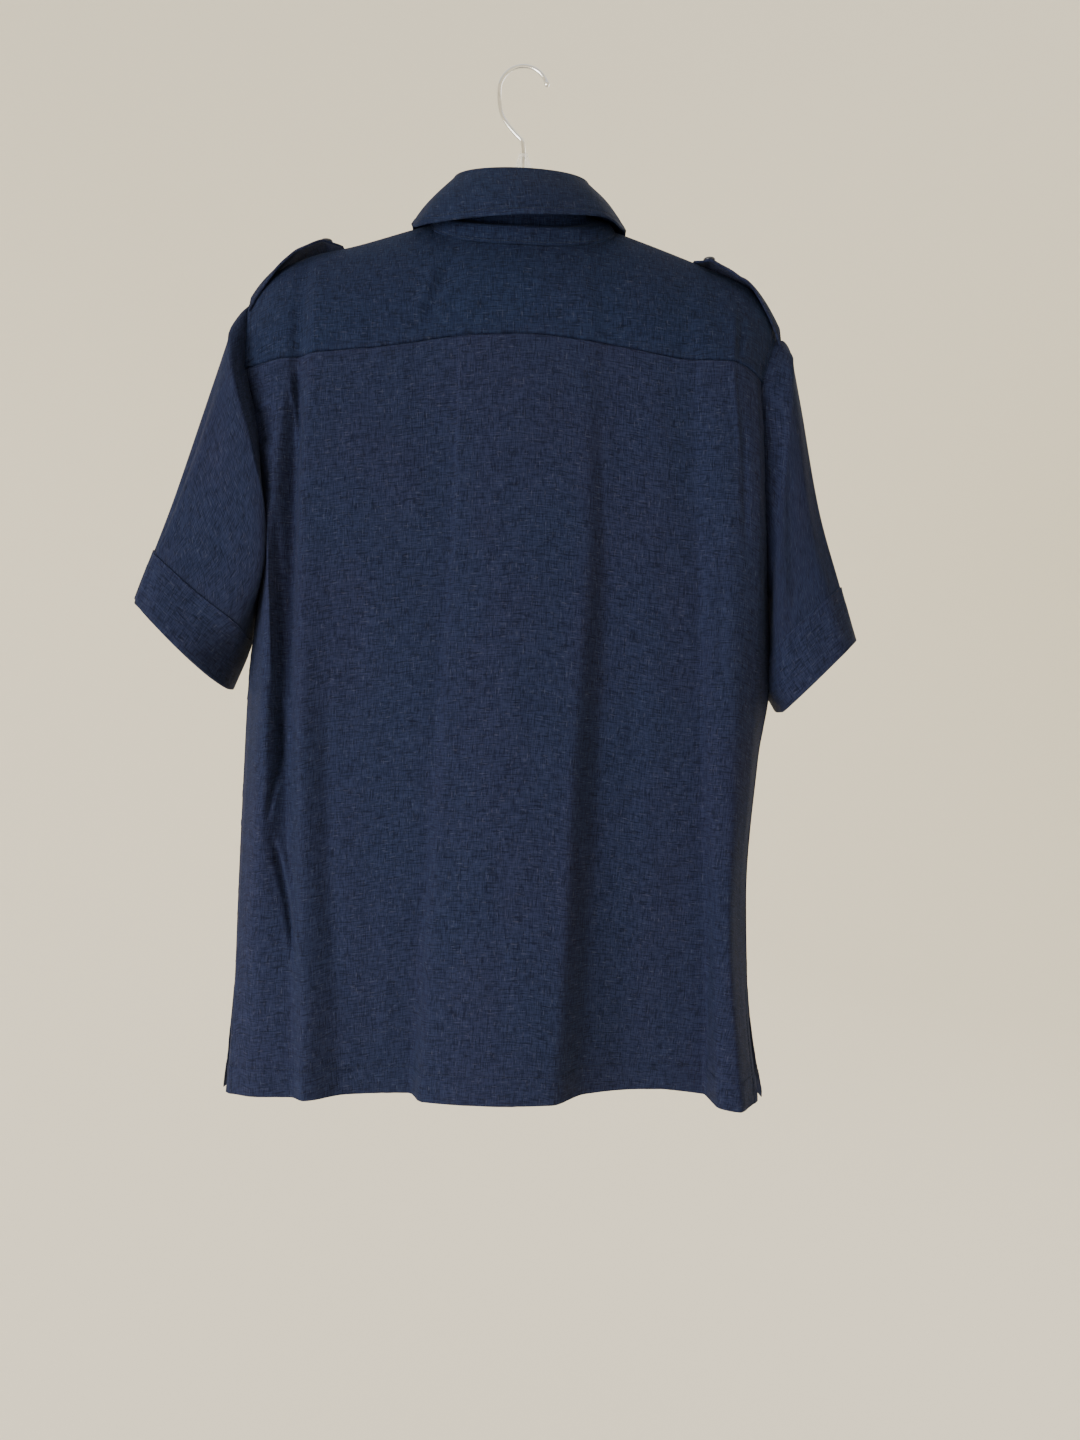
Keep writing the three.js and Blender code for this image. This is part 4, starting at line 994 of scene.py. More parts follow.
def button_tree():
    """Four-hole buttons with a rounded rim, one on each point, turned to its facing."""
    tree, n, given, end = node_group("buttons", (
        ("Radius", "NodeSocketFloat"), ("Thickness", "NodeSocketFloat"), ("Rim", "NodeSocketFloat"),
        ("Hole Radius", "NodeSocketFloat"), ("Hole Place", "NodeSocketFloat"),
        ("Resin", "NodeSocketMaterial"),
    ))
    inner = n.math("SUBTRACT", given["Radius"], given["Rim"])
    outline = n.add("GeometryNodeCurvePrimitiveCircle", Resolution=40, Radius=inner)
    hole = n.add("GeometryNodeCurvePrimitiveCircle", Resolution=10, Radius=given["Hole Radius"])
    plate_lines = n.add("GeometryNodeJoinGeometry")
    tree.links.new(outline.outputs[0], plate_lines.inputs[0])
    for sx, sy in ((1, 1), (-1, 1), (-1, -1), (1, -1)):
        across, up = (n.math("MULTIPLY", given["Hole Place"], sign) for sign in (sx, sy))
        at = n.add("ShaderNodeCombineXYZ", X=across, Y=up)
        moved = n.add("GeometryNodeTransform", Geometry=hole.outputs[0], Translation=at.outputs[0])
        tree.links.new(moved.outputs[0], plate_lines.inputs[0])
    plate = n.add("GeometryNodeFillCurve", {"mode": "TRIANGLES"}, Curve=plate_lines.outputs[0])
    raised = n.add(
        "GeometryNodeExtrudeMesh", {"mode": "FACES"}, Mesh=plate.outputs[0], Individual=False,
        Offset_Scale=n.math("MULTIPLY", given["Thickness"], 0.55),
    )
    under = n.add("GeometryNodeFlipFaces", Mesh=plate.outputs[0])
    rim_line = n.add("GeometryNodeCurvePrimitiveCircle", Resolution=40, Radius=inner)
    rim_ring = n.add("GeometryNodeCurvePrimitiveCircle", Resolution=12, Radius=given["Rim"])
    rim = n.add("GeometryNodeCurveToMesh", Curve=rim_line.outputs[0], Profile_Curve=rim_ring.outputs[0])
    rim_up = n.add("ShaderNodeCombineXYZ", Z=n.math("MULTIPLY", given["Thickness"], 0.5))
    rim_tall = n.math("DIVIDE", n.math("MULTIPLY", given["Thickness"], 0.5), given["Rim"])
    rim_scale = n.add("ShaderNodeCombineXYZ", X=1.0, Y=1.0, Z=rim_tall)
    rim_set = n.add(
        "GeometryNodeTransform", Geometry=rim.outputs[0], Translation=rim_up.outputs[0],
        Scale=rim_scale.outputs[0],
    )
    whole = n.add("GeometryNodeJoinGeometry")
    for part in (raised.outputs[0], under.outputs[0]):
        tree.links.new(part, whole.inputs[0])
    welded = n.add("GeometryNodeMergeByDistance", Geometry=whole.outputs[0], Distance=0.00001)
    flat = n.add("GeometryNodeSetShadeSmooth", Geometry=welded.outputs[0], Shade_Smooth=False)
    both = n.add("GeometryNodeJoinGeometry")
    smooth_rim = n.add("GeometryNodeSetShadeSmooth", Geometry=rim_set.outputs[0], Shade_Smooth=True)
    for part in (flat.outputs[0], smooth_rim.outputs[0]):
        tree.links.new(part, both.inputs[0])
    facing = n.add("GeometryNodeInputNamedAttribute", {"data_type": "FLOAT_VECTOR"}, Name="facing")
    turned = n.add("FunctionNodeAlignRotationToVector", {"axis": "Z"}, Vector=facing.outputs[0])
    laid = n.add(
        "GeometryNodeInstanceOnPoints", Points=given["Geometry"], Instance=both.outputs[0],
        Rotation=turned.outputs[0],
    )
    real = n.add("GeometryNodeRealizeInstances", Geometry=laid.outputs[0])
    done = n.add("GeometryNodeSetMaterial", Geometry=real.outputs[0], Material=given["Resin"])
    n.feed(end, "0", done.outputs[0])
    return tree


def line_mesh(name, lines, radius=None):
    """Loose edges along lines of points in millimetres."""
    points, edges = [], []
    for line in lines:
        base = len(points)
        points.extend((np.asarray(line) * MM).tolist())
        edges.extend((base + k, base + k + 1) for k in range(len(line) - 1))
    mesh = bpy.data.meshes.new(name)
    mesh.from_pydata(points, edges, [])
    if radius is not None:
        along = mesh.attributes.new("radius_along", "FLOAT", "POINT")
        along.data.foreach_set("value", np.asarray(radius, float) * MM)
    return mesh


# Grids of the pieces


def back_grid():
    middle = np.searchsorted(LEVELS, FOLD_HEIGHTS[2])
    steps = np.hypot(np.diff(TABLE_X[middle]), np.diff(TABLE_Y[middle]))
    arc = np.concatenate([[0], np.cumsum(steps)])
    shares = spacing(214, ((0, 1.6, 0.02), (0.08, 1.2, 0.04), (0.915, 2.2, 0.055), (1, 1.6, 0.02)))
    t = np.interp(shares * arc[-1], arc, np.arange(GAPS + 1))
    down = spacing(224, ((0.0, 1.4, 0.02), (0.0105, 6, 0.005), (0.965, 1.2, 0.012), (1, 1.5, 0.008)))
    top_x = back_place(t, np.full_like(t, SHOULDER_LEVEL))
    seam = yoke_seam(top_x)
    foot = hem(back_place(t, np.full_like(t, HEM["z"])))
    z = lerp((seam + 7)[:, None], foot[:, None], down[None, :])
    tt = np.repeat(t[:, None], z.shape[1], axis=1)
    x = back_place(tt, z)
    below = yoke_seam(x) - z
    tuck = 1.3 * smooth((1.2 - below) / 1.4) + 2.6 * np.exp(-(((below - 0.5) / 0.85) ** 2))
    y = back_depth(x, z) - tuck
    x, y = hollowed(x, y, z)
    return np.stack([x, y, z], axis=-1)


def front_grid(side, columns=104, rows=150):
    edge_top = side * SHOULDER_END[side]["edge"]
    end = centre_x(NECK_FOOT) - side * LAP
    share = spacing(columns, ((0, 1.6, 0.03), (1, 1.6, 0.03)))
    top_x = lerp(edge_top, end, share)
    seam = ridge(top_x) - FORWARD_SEAM_DROP
    turn = np.degrees(np.arcsin(np.clip(np.abs(top_x) / NECK["half"], 0, 1)))
    neck = np.where(np.abs(top_x) < NECK["half"], neck_height(180 - turn), 1e3)
    neck = neck + np.where(np.abs(top_x) < NECK["half"], LEAN * (top_x - np.abs(top_x)), 0)
    inside = neck < seam
    top = np.where(inside, neck + 3, seam + 6)
    down = spacing(rows, ((0.0, 2.0, 0.02), (0.965, 1.0, 0.012), (1, 1.4, 0.008)))
    foot = hem(lerp(edge_x(side, -1, HEM["z"]), centre_x(HEM["z"]) - side * LAP, share))
    z = lerp(top[:, None], foot[:, None], down[None, :])
    x = front_place(side, share[:, None], z)
    tuck = 1.1 * smooth((z - (np.where(inside, neck, seam))[:, None] + 1.4) / 1.8)
    y = front_depth(x, z) + tuck
    if side == RIGHT:
        y = y + 2.6 * smooth((x - centre_x(z) + 2.4 * LAP) / (1.25 * LAP))
    return np.stack([x, y, z], axis=-1)


def front_place(side, share, z):
    return lerp(edge_x(side, -1, z), centre_x(z) - side * LAP, share)


def yoke_grid():
    """From the right armhole to the left; each column runs from the front over the ridge to the seam."""
    shares = spacing(168, ((0, 1.5, 0.02), (1, 1.5, 0.02)))
    seam = lerp(-SHOULDER_END[RIGHT]["edge"], SHOULDER_END[LEFT]["edge"], shares)
    size = np.abs(seam)
    angle = np.interp(size, NECK_COLUMNS[:, 1], NECK_COLUMNS[:, 0]) * np.sign(seam)
    neck_x = NECK["half"] * np.sin(np.radians(angle))
    neck_end = NECK_COLUMNS[-1, 1]
    outside = np.clip((size - neck_end) / 7, 0, 1)
    top = np.where(size > neck_end, lerp(neck_x, seam, outside), neck_x)
    below = ridge(top) - neck_height(angle)
    start = np.where(np.abs(angle) > 90, -np.minimum(below, FORWARD_SEAM_DROP), below)
    start = np.where(size > neck_end, lerp(start, -FORWARD_SEAM_DROP, outside), start)
    j = spacing(78, ((0, 1.0, 0.02), (1, 2.4, 0.02))) * 8
    start2, top2, seam2 = start[:, None], top[:, None], seam[:, None]
    x = lerp(top2, seam2, smooth(j[None, :] / 6))
    full = ridge(x) - yoke_seam(x)
    over = start2 * np.interp(j, [0, 1, 2], [1, 0.35, 0])[None, :]
    behind = np.clip((j[None, :] - 2) / 6, 0, 1) ** 1.7 * full
    crossing = np.where(j[None, :] < 2, over, behind)
    power = lerp(2.2, 1.2, np.clip(start2 / 15, 0, 1))
    inner = lerp(np.maximum(0, start2), full, (j[None, :] / 8) ** power)
    drop = np.where(start2 < 0, crossing, inner)
    wave = 0.5 * lattice_noise(x / 17, x * 0 + 2.3, 31) + 0.25 * lattice_noise(x / 6, x * 0 + 4.1, 33)
    z = ridge(x) - np.abs(drop) + wave * smooth((drop - 0.9 * full) / (0.1 * full))
    y = np.where(drop < 0, front_depth(x, z), back_depth(x, z, YOKE_CREASES))
    x, y = hollowed(x, y, z)
    return np.stack([x, y, z], axis=-1)


def armhole_line(side, count=150):
    """Points round the armhole: over the ridge, down the back and up the front."""
    edge = side * SHOULDER_END[side]["edge"]
    crown = float(ridge(edge))
    seam = float(yoke_seam(edge))
    pit = ARMPIT[side]
    forward = np.linspace(FORWARD_SEAM_DROP, 0, 12)[:-1]
    x, z = np.full(11, edge), crown - forward
    front_top = np.stack([x, front_depth(x, z), z], axis=1)
    drops = np.linspace(0, 1, 40) ** 1.7 * (crown - seam)
    x, z = np.full(40, edge), crown - drops
    over = np.stack([x, back_depth(x, z), z], axis=1)
    z = pit + (seam - pit) * (1 - np.linspace(0, 1, 60)[1:]) ** 1.3
    x = edge_x(side, 1, z)
    down = np.stack([x, edge_y(side, z) * roll(x, z), z], axis=1)
    z = pit + (crown - FORWARD_SEAM_DROP - pit) * np.linspace(0, 1, 70)[1:-1] ** 1.3
    x = edge_x(side, -1, z)
    up = np.stack([x, -edge_y(side, z) * roll(x, z), z], axis=1)
    loop = np.concatenate([front_top, over, down, up])
    if side == RIGHT:
        loop[:, 0], loop[:, 1] = hollowed(loop[:, 0], loop[:, 1], loop[:, 2])
    closed = np.concatenate([loop, loop[:1]])
    run = np.concatenate([[0], np.cumsum(np.linalg.norm(np.diff(closed, axis=0), axis=1))])
    at = np.linspace(0, run[-1], count, endpoint=False)
    return np.stack([np.interp(at, run, closed[:, k]) for k in range(3)], axis=1)


def sleeve_ring(side, s, turn):
    rows = SLEEVES[side]
    ox, oz, ix, iz, back, front = (through(rows[:, 0], rows[:, k], s) for k in range(1, 7))
    long = np.sign(np.cos(turn)) * np.abs(np.cos(turn)) ** SLEEVE_ROUND
    deep = np.sign(np.sin(turn)) * np.abs(np.sin(turn)) ** SLEEVE_ROUND
    depth = np.where(deep > 0, back, front)
    share = (1 + long) / 2
    places, inward, backward, (middle, width) = SLEEVE_OVER[side]
    behind = np.exp(-(((turn - middle) / width) ** 2))
    x = lerp(ix, ox, share) - side * through(places, inward, s) * behind
    y = depth * deep + through(places, backward, s) * behind
    tilt = MOUTH_TILT[side] * smooth((s - 0.5) / 0.5) * np.maximum(deep, 0.4 * deep)
    return np.stack([x, y, lerp(iz, oz, share) + tilt], axis=-1)


def sleeve_form(side, shares_of, columns=150):
    """The sleeve's tube at places s along it; shares_of gives them from each column's cuff place."""
    rim = armhole_line(side, columns)
    crown, pit = rim[:, 2].max(), rim[:, 2].min()
    height = np.clip((2 * rim[:, 2] - crown - pit) / (crown - pit), -1, 1)
    turn = np.arccos(height) * np.where(rim[:, 1] < 0, -1, 1)
    first = SLEEVES[side][0, 0]
    upper, mouth = (sleeve_ring(side, np.full(columns, s), turn) for s in (first, 1.0))
    length = np.linalg.norm(upper - mouth, axis=1)
    cuff_top = 1 - CUFF_HEIGHT / (length + 20)
    s = shares_of(cuff_top[:, None])
    tt = np.repeat(turn[:, None], s.shape[1], axis=1)
    ahead = np.roll(rim, -1, axis=0) - np.roll(rim, 1, axis=0)
    out = np.stack([np.zeros(columns), -ahead[:, 2], ahead[:, 1]], axis=1)
    out /= np.linalg.norm(out, axis=1, keepdims=True)
    out *= np.sign((out * (rim - rim.mean(axis=0))).sum(axis=1, keepdims=True) + 1e-9)
    start = rim - out * 0.9
    ring = sleeve_ring(side, np.clip(s, first, None), tt)
    blend = smooth(s / first)[..., None]
    grid = lerp(start[:, None, :], ring, blend)
    inside = np.clip(-s, 0, None)[..., None]
    grid = grid + inside * 100 * np.array([-side * 5.0, 0, 0]) - inside * 100 * out[:, None, :] * 0.5
    normal = grid_normals(grid, True) * -side
    degrees = np.degrees(tt)
    lift = 0.8 * lattice_noise(degrees / 24 + 20, s * 1.6 + 4, 41 + side) * smooth(s / 0.2)
    crown = np.clip(np.cos(tt), 0, 1) * np.sin(np.pi * np.clip(s / CAP["reach"], 0, 1))
    lift = lift + CAP["rise"] * crown
    for d0, s0, d1, s1, width, tall in SLEEVE_CREASES[side]:
        along = (s - s0) / (s1 - s0)
        round_it = (degrees - lerp(d0, d1, along)) / width * 0.55
        lift = lift + tall * np.exp(-(round_it**2)) * smooth(along / 0.25) * smooth((1.12 - along) / 0.25)
    return grid + normal * (lift * settings().crease_height)[..., None]


def sleeve_grid(side):
    rows = spacing(62, ((0, 2.5, 0.03), (1, 0.8, 0.03)))
    tucked = np.concatenate([[-0.01, -0.004], rows])

    def shares(cuff_top):
        return np.broadcast_to(tucked, (cuff_top.shape[0], len(tucked))) * 0.995

    return sleeve_form(side, shares)


def cuff_grid(side):
    """The turned-up band: from inside the mouth round the fold and up the outside."""
    ups = (9, 5, 2, 0.5, 0, 0.5, 2, 4, 7, 10, 14, 18, 22, 26, 30, 34, 38, 42, 46, 49, 51, 53, 54.5, 55.4, 56)
    lifts = (-1.5, -1.6, -1.5, -1.0, 0, 1.1, 1.35) + (1.3,) * 10 + (1.08,) * 8
    ups, lifts = np.array(ups), np.array(lifts)

    def shares(cuff_top):
        return 1 - (1 - cuff_top) * ups[None, :] / CUFF_HEIGHT

    order = np.argsort(-ups, kind="stable")
    base = sleeve_form(side, lambda cuff_top: shares(cuff_top)[:, order])
    normal = np.empty_like(base)
    normal[:, order] = grid_normals(base, True) * -side
    grid = np.empty_like(base)
    grid[:, order] = base
    return grid + normal * lifts[None, :, None]


def collar_fold(angle):
    turn = np.radians(angle)
    deep = np.sign(np.cos(turn)) * np.abs(np.cos(turn)) ** 0.8
    forward = deep < 0
    x = COLLAR_FOLD["x"] + COLLAR_FOLD["half_x"] * np.sin(turn)
    y = deep * np.where(forward, COLLAR_FOLD["front_y"], COLLAR_FOLD["back_y"])
    drop = np.where(forward, COLLAR_FOLD["front_drop"], COLLAR_FOLD["back_drop"])
    return np.stack([x, y, COLLAR_FOLD["side_z"] + LEAN * x - drop * np.abs(np.cos(turn))], axis=-1)


def stand_grid():
    angle = lerp(-COLLAR_FRONT, COLLAR_FRONT, spacing(120, ((0, 1, 0.02), (1, 1, 0.02))))
    turn = np.radians(angle)
    outward = np.stack([np.sin(turn), np.cos(turn), np.zeros_like(turn)], axis=-1)
    foot = neck_points(angle) + outward * 1.7
    foot[:, 2] -= 1.2
    top = collar_fold(angle)
    top[:, 2] -= 3.5
    share = spacing(24, ((0, 1.5, 0.08), (0.3, 2.0, 0.06)))
    grid = lerp(foot[:, None, :], top[:, None, :], share[None, :, None])
    recess = 12.0 * smooth((share - 0.24) / 0.12) * smooth((1 - share) / 0.4)
    hollow = 0.8 * np.exp(-(((share - 0.15) / 0.15) ** 2)) - recess
    return grid + hollow[None, :, None] * outward[:, None, :]


def fall_grid():
    angle = lerp(-COLLAR_FRONT, COLLAR_FRONT, spacing(170, ((0, 2, 0.02), (1, 2, 0.02))))
    turn = np.radians(angle)
    outward = np.stack([np.sin(turn), np.cos(turn), np.zeros_like(turn)], axis=-1)
    fold = collar_fold(angle)
    edge = np.stack([through(FALL_EDGE[:, 0], FALL_EDGE[:, k], angle) for k in (1, 2, 3)], axis=-1)
    roll_over = ((0.2, -5), (0.1, -2.2), (0.3, -0.4), (1.0, 0.7), (2.0, 1.1), (3.0, 0.8), (3.7, -0.2))
    rows = []
    for out, up in roll_over:
        p = fold + outward * out
        p[:, 2] += up
        rows.append(p)
    start = fold + outward * 3.9
    start[:, 2] -= 0.9
    for share in spacing(44, ((1, 2.2, 0.08),))[1:]:
        wave = lattice_noise(angle / 16 + 20, np.full_like(angle, share * 3), 51)
        bulge = 3.5 * math.sin(math.pi * share) + 0.5 * wave
        rows.append(lerp(start, edge, share) + outward * bulge[:, None])
    return np.stack(rows, axis=1)


def strap_grid(side):
    rows = STRAPS[side][np.argsort(STRAPS[side][:, 0])]
    base, tip = STRAPS[side][0, 0], STRAPS[side][-1, 0]
    along = spacing(56, ((0, 1, 0.03), (1, 2, 0.04)))[:, None]
    across = lerp(-1, 1, spacing(26, ((0, 2, 0.05), (1, 2, 0.05))))[None, :]
    x = lerp(base - side * 0.5, tip, along) + 0 * across
    free = smooth((along - 0.05) / 0.4)
    half = lerp(12, 20, free)
    half = lerp(half, 3.0, np.clip((along - 0.8) / 0.2, 0, 1))
    y = across * half
    full = np.where(y < 0, front_full(x, SHOULDER_LEVEL + 0 * x), back_full(x, SHOULDER_LEVEL + 0 * x))
    outside = np.maximum(0, np.abs(y) - 2.4)
    drop = lerp(roll_drop(outside / full), STRAP_CROWN[side] * y * y, free)
    lift = through(rows[:, 0], rows[:, 1], x)
    wave = 0.35 * lattice_noise(x / 13, y / 15 + 4, 61 + side)
    return np.stack([x, y, ridge(x) + lift - drop + wave], axis=-1)


def patch_grid(side, share_range, z_range, lift, columns, rows, clip=0.0):
    """Cloth laid on a front: shares across, heights down, and a lift off the front's face."""
    across = spacing(columns, ((0, 2, 0.05), (1, 2, 0.05)))
    down = spacing(rows, ((0, 2, 0.05), (1, 2, 0.05)))
    share = lerp(share_range[0], share_range[1], across)[:, None]
    from_side = np.minimum(across, 1 - across)[:, None]
    foot = z_range[1] + clip * np.clip(1 - from_side / 0.09, 0, 1)
    z = lerp(z_range[0], foot, down[None, :])
    x = front_place(side, share, z)
    y = front_depth(x, z)
    grid = np.stack([x, y, z], axis=-1)
    return grid + grid_normals(grid) * side * lift


def front_share(side, top_x):
    edge_top = side * SHOULDER_END[side]["edge"]
    end = centre_x(NECK_FOOT) - side * LAP
    return (top_x - edge_top) / (end - edge_top)


def pocket_shares(side):
    outer = SHOULDER_END[side]["edge"] - POCKET["outer"]
    return front_share(side, side * outer), front_share(side, side * POCKET["inner"])


# Settings


def metres(name, description, default):
    return FloatProperty(name=name, description=description, default=default, unit="LENGTH")


def tint(name, description, default):
    return FloatVectorProperty(name=name, description=description, subtype="COLOR", size=3, default=default)


class ClothSettings(bpy.types.PropertyGroup):
    thickness: metres("Cloth Thickness", "Thickness of one layer", 0.0009)
    double: metres("Lined Thickness", "Thickness of collar and straps", 0.0019)
    crease_height: FloatProperty(name="Crease Height", description="Share of the creases", default=1.0)
    thread_pitch: metres("Thread Pitch", "Distance between threads", 0.00062)
    warp_colour: tint("Warp", "Dark thread", (0.0016, 0.0026, 0.0116))
    weft_colour: tint("Weft", "Paler thread", (0.0158, 0.0218, 0.0545))
    # Tint of the painted shade on the upward-facing yoke and collar
    painted_top_shade: tint("Painted Top Shade", "Tone of the pieces cut crosswise", (0.74, 0.90, 0.94))
    thread_colour: tint("Sewing Thread", "Colour of the stitches", (0.007, 0.010, 0.022))
    stitch_length: metres("Stitch Length", "Length of a stitch", 0.0026)
    stitch_gap: metres("Stitch Gap", "Cloth between stitches", 0.0009)
    thread_radius: metres("Thread Radius", "Half the thread's width", 0.00022)


class ButtonSettings(bpy.types.PropertyGroup):
    radius: metres("Radius", "Half a button's width", 0.0056)
    thickness: metres("Thickness", "Thickness at the rim", 0.0025)
    rim: metres("Rim", "Half width of the rounded rim", 0.0010)
    hole_radius: metres("Hole Radius", "Half a hole's width", 0.0008)
    hole_place: metres("Hole Place", "Distance of the holes from the middle, both ways", 0.0013)
    count: IntProperty(name="Front Buttons", description="Buttons down the front", default=7)
    spacing: metres("Spacing", "Distance between front buttons", 0.096)
    colour: tint("Colour", "Resin", (0.006, 0.009, 0.02))


class HangerSettings(bpy.types.PropertyGroup):
    rim: metres("Rim", "Half thickness of the moulded rim", 0.0029)
    web: metres("Web", "Half thickness between the rims", 0.0013)
    wire: metres("Wire Radius", "Half the hook wire's width", 0.0018)


class StageSettings(bpy.types.PropertyGroup):
    floor: metres("Floor Height", "Height of the floor", -2.1)
    radius: metres("Radius", "Distance to the wall", 3.2)
    bend: metres("Bend", "Radius of the bend between the floor and the wall", 2.0)
    ground_colour: tint("Ground", "Pale studio ground", (0.88, 0.83, 0.71))
    key: FloatProperty(name="Key Light", description="Power of the key light", default=100.0, unit="POWER")
    fill: FloatProperty(name="Fill Light", description="Power of the fill light", default=22.0, unit="POWER")
    sky: FloatProperty(name="Sky", description="Strength of the even light", default=1.2)


# Operators


class SHIRT_OT_back(bpy.types.Operator):
    """Make the back panel, with its long folds, hem and vents"""

    bl_idname = "shirt.back"
    bl_label = "Back"

    def execute(self, context):
        cloth = settings()
        grid = back_grid()
        open_part = (vent(grid[..., 2]) > 0).astype(float)
        turn, hem_turn = TURNS["vent"], TURNS["hem"]
        grid = sewn(grid, "foot", hem_turn, 1, raised=0.45, groove=0.4, pucker=0.3, seed=3)
        for edge, seed in (("first", 7), ("last", 8)):
            shut = 1 - open_part
            grid = sewn(grid, edge, turn, 1, raised=0.35, pucker=0.2, where=open_part, seed=seed)
            grid = sewn(grid, edge, 1.2, 1, raised=0.0, groove=0.5, pucker=0.45, where=shut, seed=seed + 2)
            stitch("body", grid, edge, turn, 1, start=0.862, stop=0.998)
        stitch("body", grid, "foot", hem_turn, 1)
        wall = cloth.thickness / MM + 0.5 * smooth((hem_turn + 1 - run_from(grid, "foot")) / 2)
        sew_piece("back_panel", grid, wall, "back", ["back"])
        return {"FINISHED"}


class SHIRT_OT_fronts(bpy.types.Operator):
    """Make both fronts and the placket on the left one"""

    bl_idname = "shirt.fronts"
    bl_label = "Fronts and Placket"

    def execute(self, context):
        wall = settings().thickness / MM
        for side in (LEFT, RIGHT):
            grid = front_grid(side)
            open_part = (vent(grid[..., 2]) > 0).astype(float)
            grid = sewn(grid, "foot", TURNS["hem"], side, raised=0.45, groove=0.4, pucker=0.3, seed=13)
            grid = sewn(grid, "first", TURNS["vent"], side, raised=0.35, pucker=0.2, where=open_part, seed=17)
            grid = sewn(grid, "last", TURNS["front"], side, raised=0.3, pucker=0.25, seed=19)
            stitch("body", grid, "first", TURNS["vent"], side, start=0.868, stop=0.998)
            stitch("body", grid, "foot", TURNS["hem"], side)
            if side == RIGHT:
                stitch("body", grid, "last", TURNS["front"], side)
            name = SIDE_NAMES[side]
            sew_piece(f"front_panel_{name}", grid, wall, "front", [f"front_{name}"], side)
        shares = (front_share(LEFT, PLACKET["inner"]), 1.0)
        grid = patch_grid(LEFT, shares, (PLACKET["top"], PLACKET["foot"]), 1.5, 26, 150)
        for edge in ("first", "last"):
            grid = sewn(grid, edge, PLACKET["turn"], LEFT, raised=0.25, pucker=0.2, seed=27)
            stitch("body", grid, edge, PLACKET["turn"], LEFT)
        sew_piece("placket_band", grid, 1.1, "placket", ["placket"], outward=LEFT)
        return {"FINISHED"}


class SHIRT_OT_yoke(bpy.types.Operator):
    """Make the yoke, which rests on the hanger"""

    bl_idname = "shirt.yoke"
    bl_label = "Yoke"

    def execute(self, context):
        grid = yoke_grid()
        normal = grid_normals(grid)
        for edge, depth in (("foot", 1.9), ("top", 1.5)):
            grid = grid - normal * (depth * np.clip(1 - run_from(grid, edge) / 1.4, 0, 1) ** 2)[..., None]
            grid = sewn(grid, edge, 4, 1, raised=0.25, groove=0, pucker=0.35, seed=33)
        grid = sewn(grid, "top", 2.4, 1, raised=0, groove=1.0, pucker=0, seed=33)
        for edge, seed in (("first", 35), ("last", 36)):
            grid = sewn(grid, edge, 7, 1, raised=0.3, pucker=0.3, seed=seed)
            stitch("body", grid, edge, 7, 1)
        grain = (grid[..., 0], 0.7 * grid[..., 1] - grid[..., 2])
        sew_piece("yoke_panel", grid, 1.3, "yoke", ["yoke"], grain=grain)
        return {"FINISHED"}


class SHIRT_OT_sleeves(bpy.types.Operator):
    """Make both sleeves and their turned-up cuffs"""

    bl_idname = "shirt.sleeves"
    bl_label = "Sleeves and Cuffs"

    def execute(self, context):
        wall = settings().thickness / MM
        for side in (LEFT, RIGHT):
            name = SIDE_NAMES[side]
            grid = sleeve_grid(side)
            tube, band = f"sleeve_{name}", f"cuff_{name}"
            sew_piece(tube + "_tube", grid, wall, "sleeve", [tube], -side, True)
            grid = cuff_grid(side)
            grid = sewn(grid, "foot", 1.6, side, raised=0.1, groove=0, pucker=0.15, closed=True, seed=43)
            sew_piece(band + "_band", grid, wall, "cuff", [band], side, True)
        return {"FINISHED"}


class SHIRT_OT_collar(bpy.types.Operator):
    """Make the collar's stand and its folded fall"""

    bl_idname = "shirt.collar"
    bl_label = "Collar"

    def execute(self, context):
        double = settings().double / MM
        stand = stand_grid()
        stand = sewn(stand, "top", 1.8, -1, raised=0.2, groove=0.25, pucker=0.2, seed=52)
        stitch("collar", stand, "top", 1.8, -1)
        sew_piece("collar_band", stand, double, "collar_stand", ["collar_stand"], -1)
        fall = fall_grid()
        fall = sewn(fall, "foot", 6, 1, raised=0.3, groove=0.4, pucker=0.25, seed=53)
        for edge in ("first", "last"):
            fall = sewn(fall, edge, 6, 1, raised=0.3, groove=0.4, pucker=0.2, seed=54)
            stitch("collar", fall, edge, 6, 1, start=0.3)
        stitch("collar", fall, "foot", 6, 1)
        sew_piece("collar_fall", fall, double, "collar", ["collar"])
        return {"FINISHED"}


class SHIRT_OT_straps(bpy.types.Operator):
    """Make the two shoulder straps"""

    bl_idname = "shirt.straps"
    bl_label = "Shoulder Straps"

    def execute(self, context):
        for side in (LEFT, RIGHT):
            name = SIDE_NAMES[side]
            grid = strap_grid(side)
            wide = smooth((run_from(grid, "top")[:, -1:] - 14) / 12)
            turned = {"raised": 0.25, "groove": 0.3, "pucker": 0.15, "where": wide, "seed": 63}
            for edge in ("top", "foot"):
                grid = sewn(grid, edge, 4.5, -side, **turned)
            for edge in ("top", "foot"):
                stitch("straps", grid, edge, 4.5, -side, stop=0.9)
            wall = settings().double / MM
            sew_piece(f"strap_{name}", grid, wall, "strap", [f"epaulette_{name}"], -side)
        return {"FINISHED"}


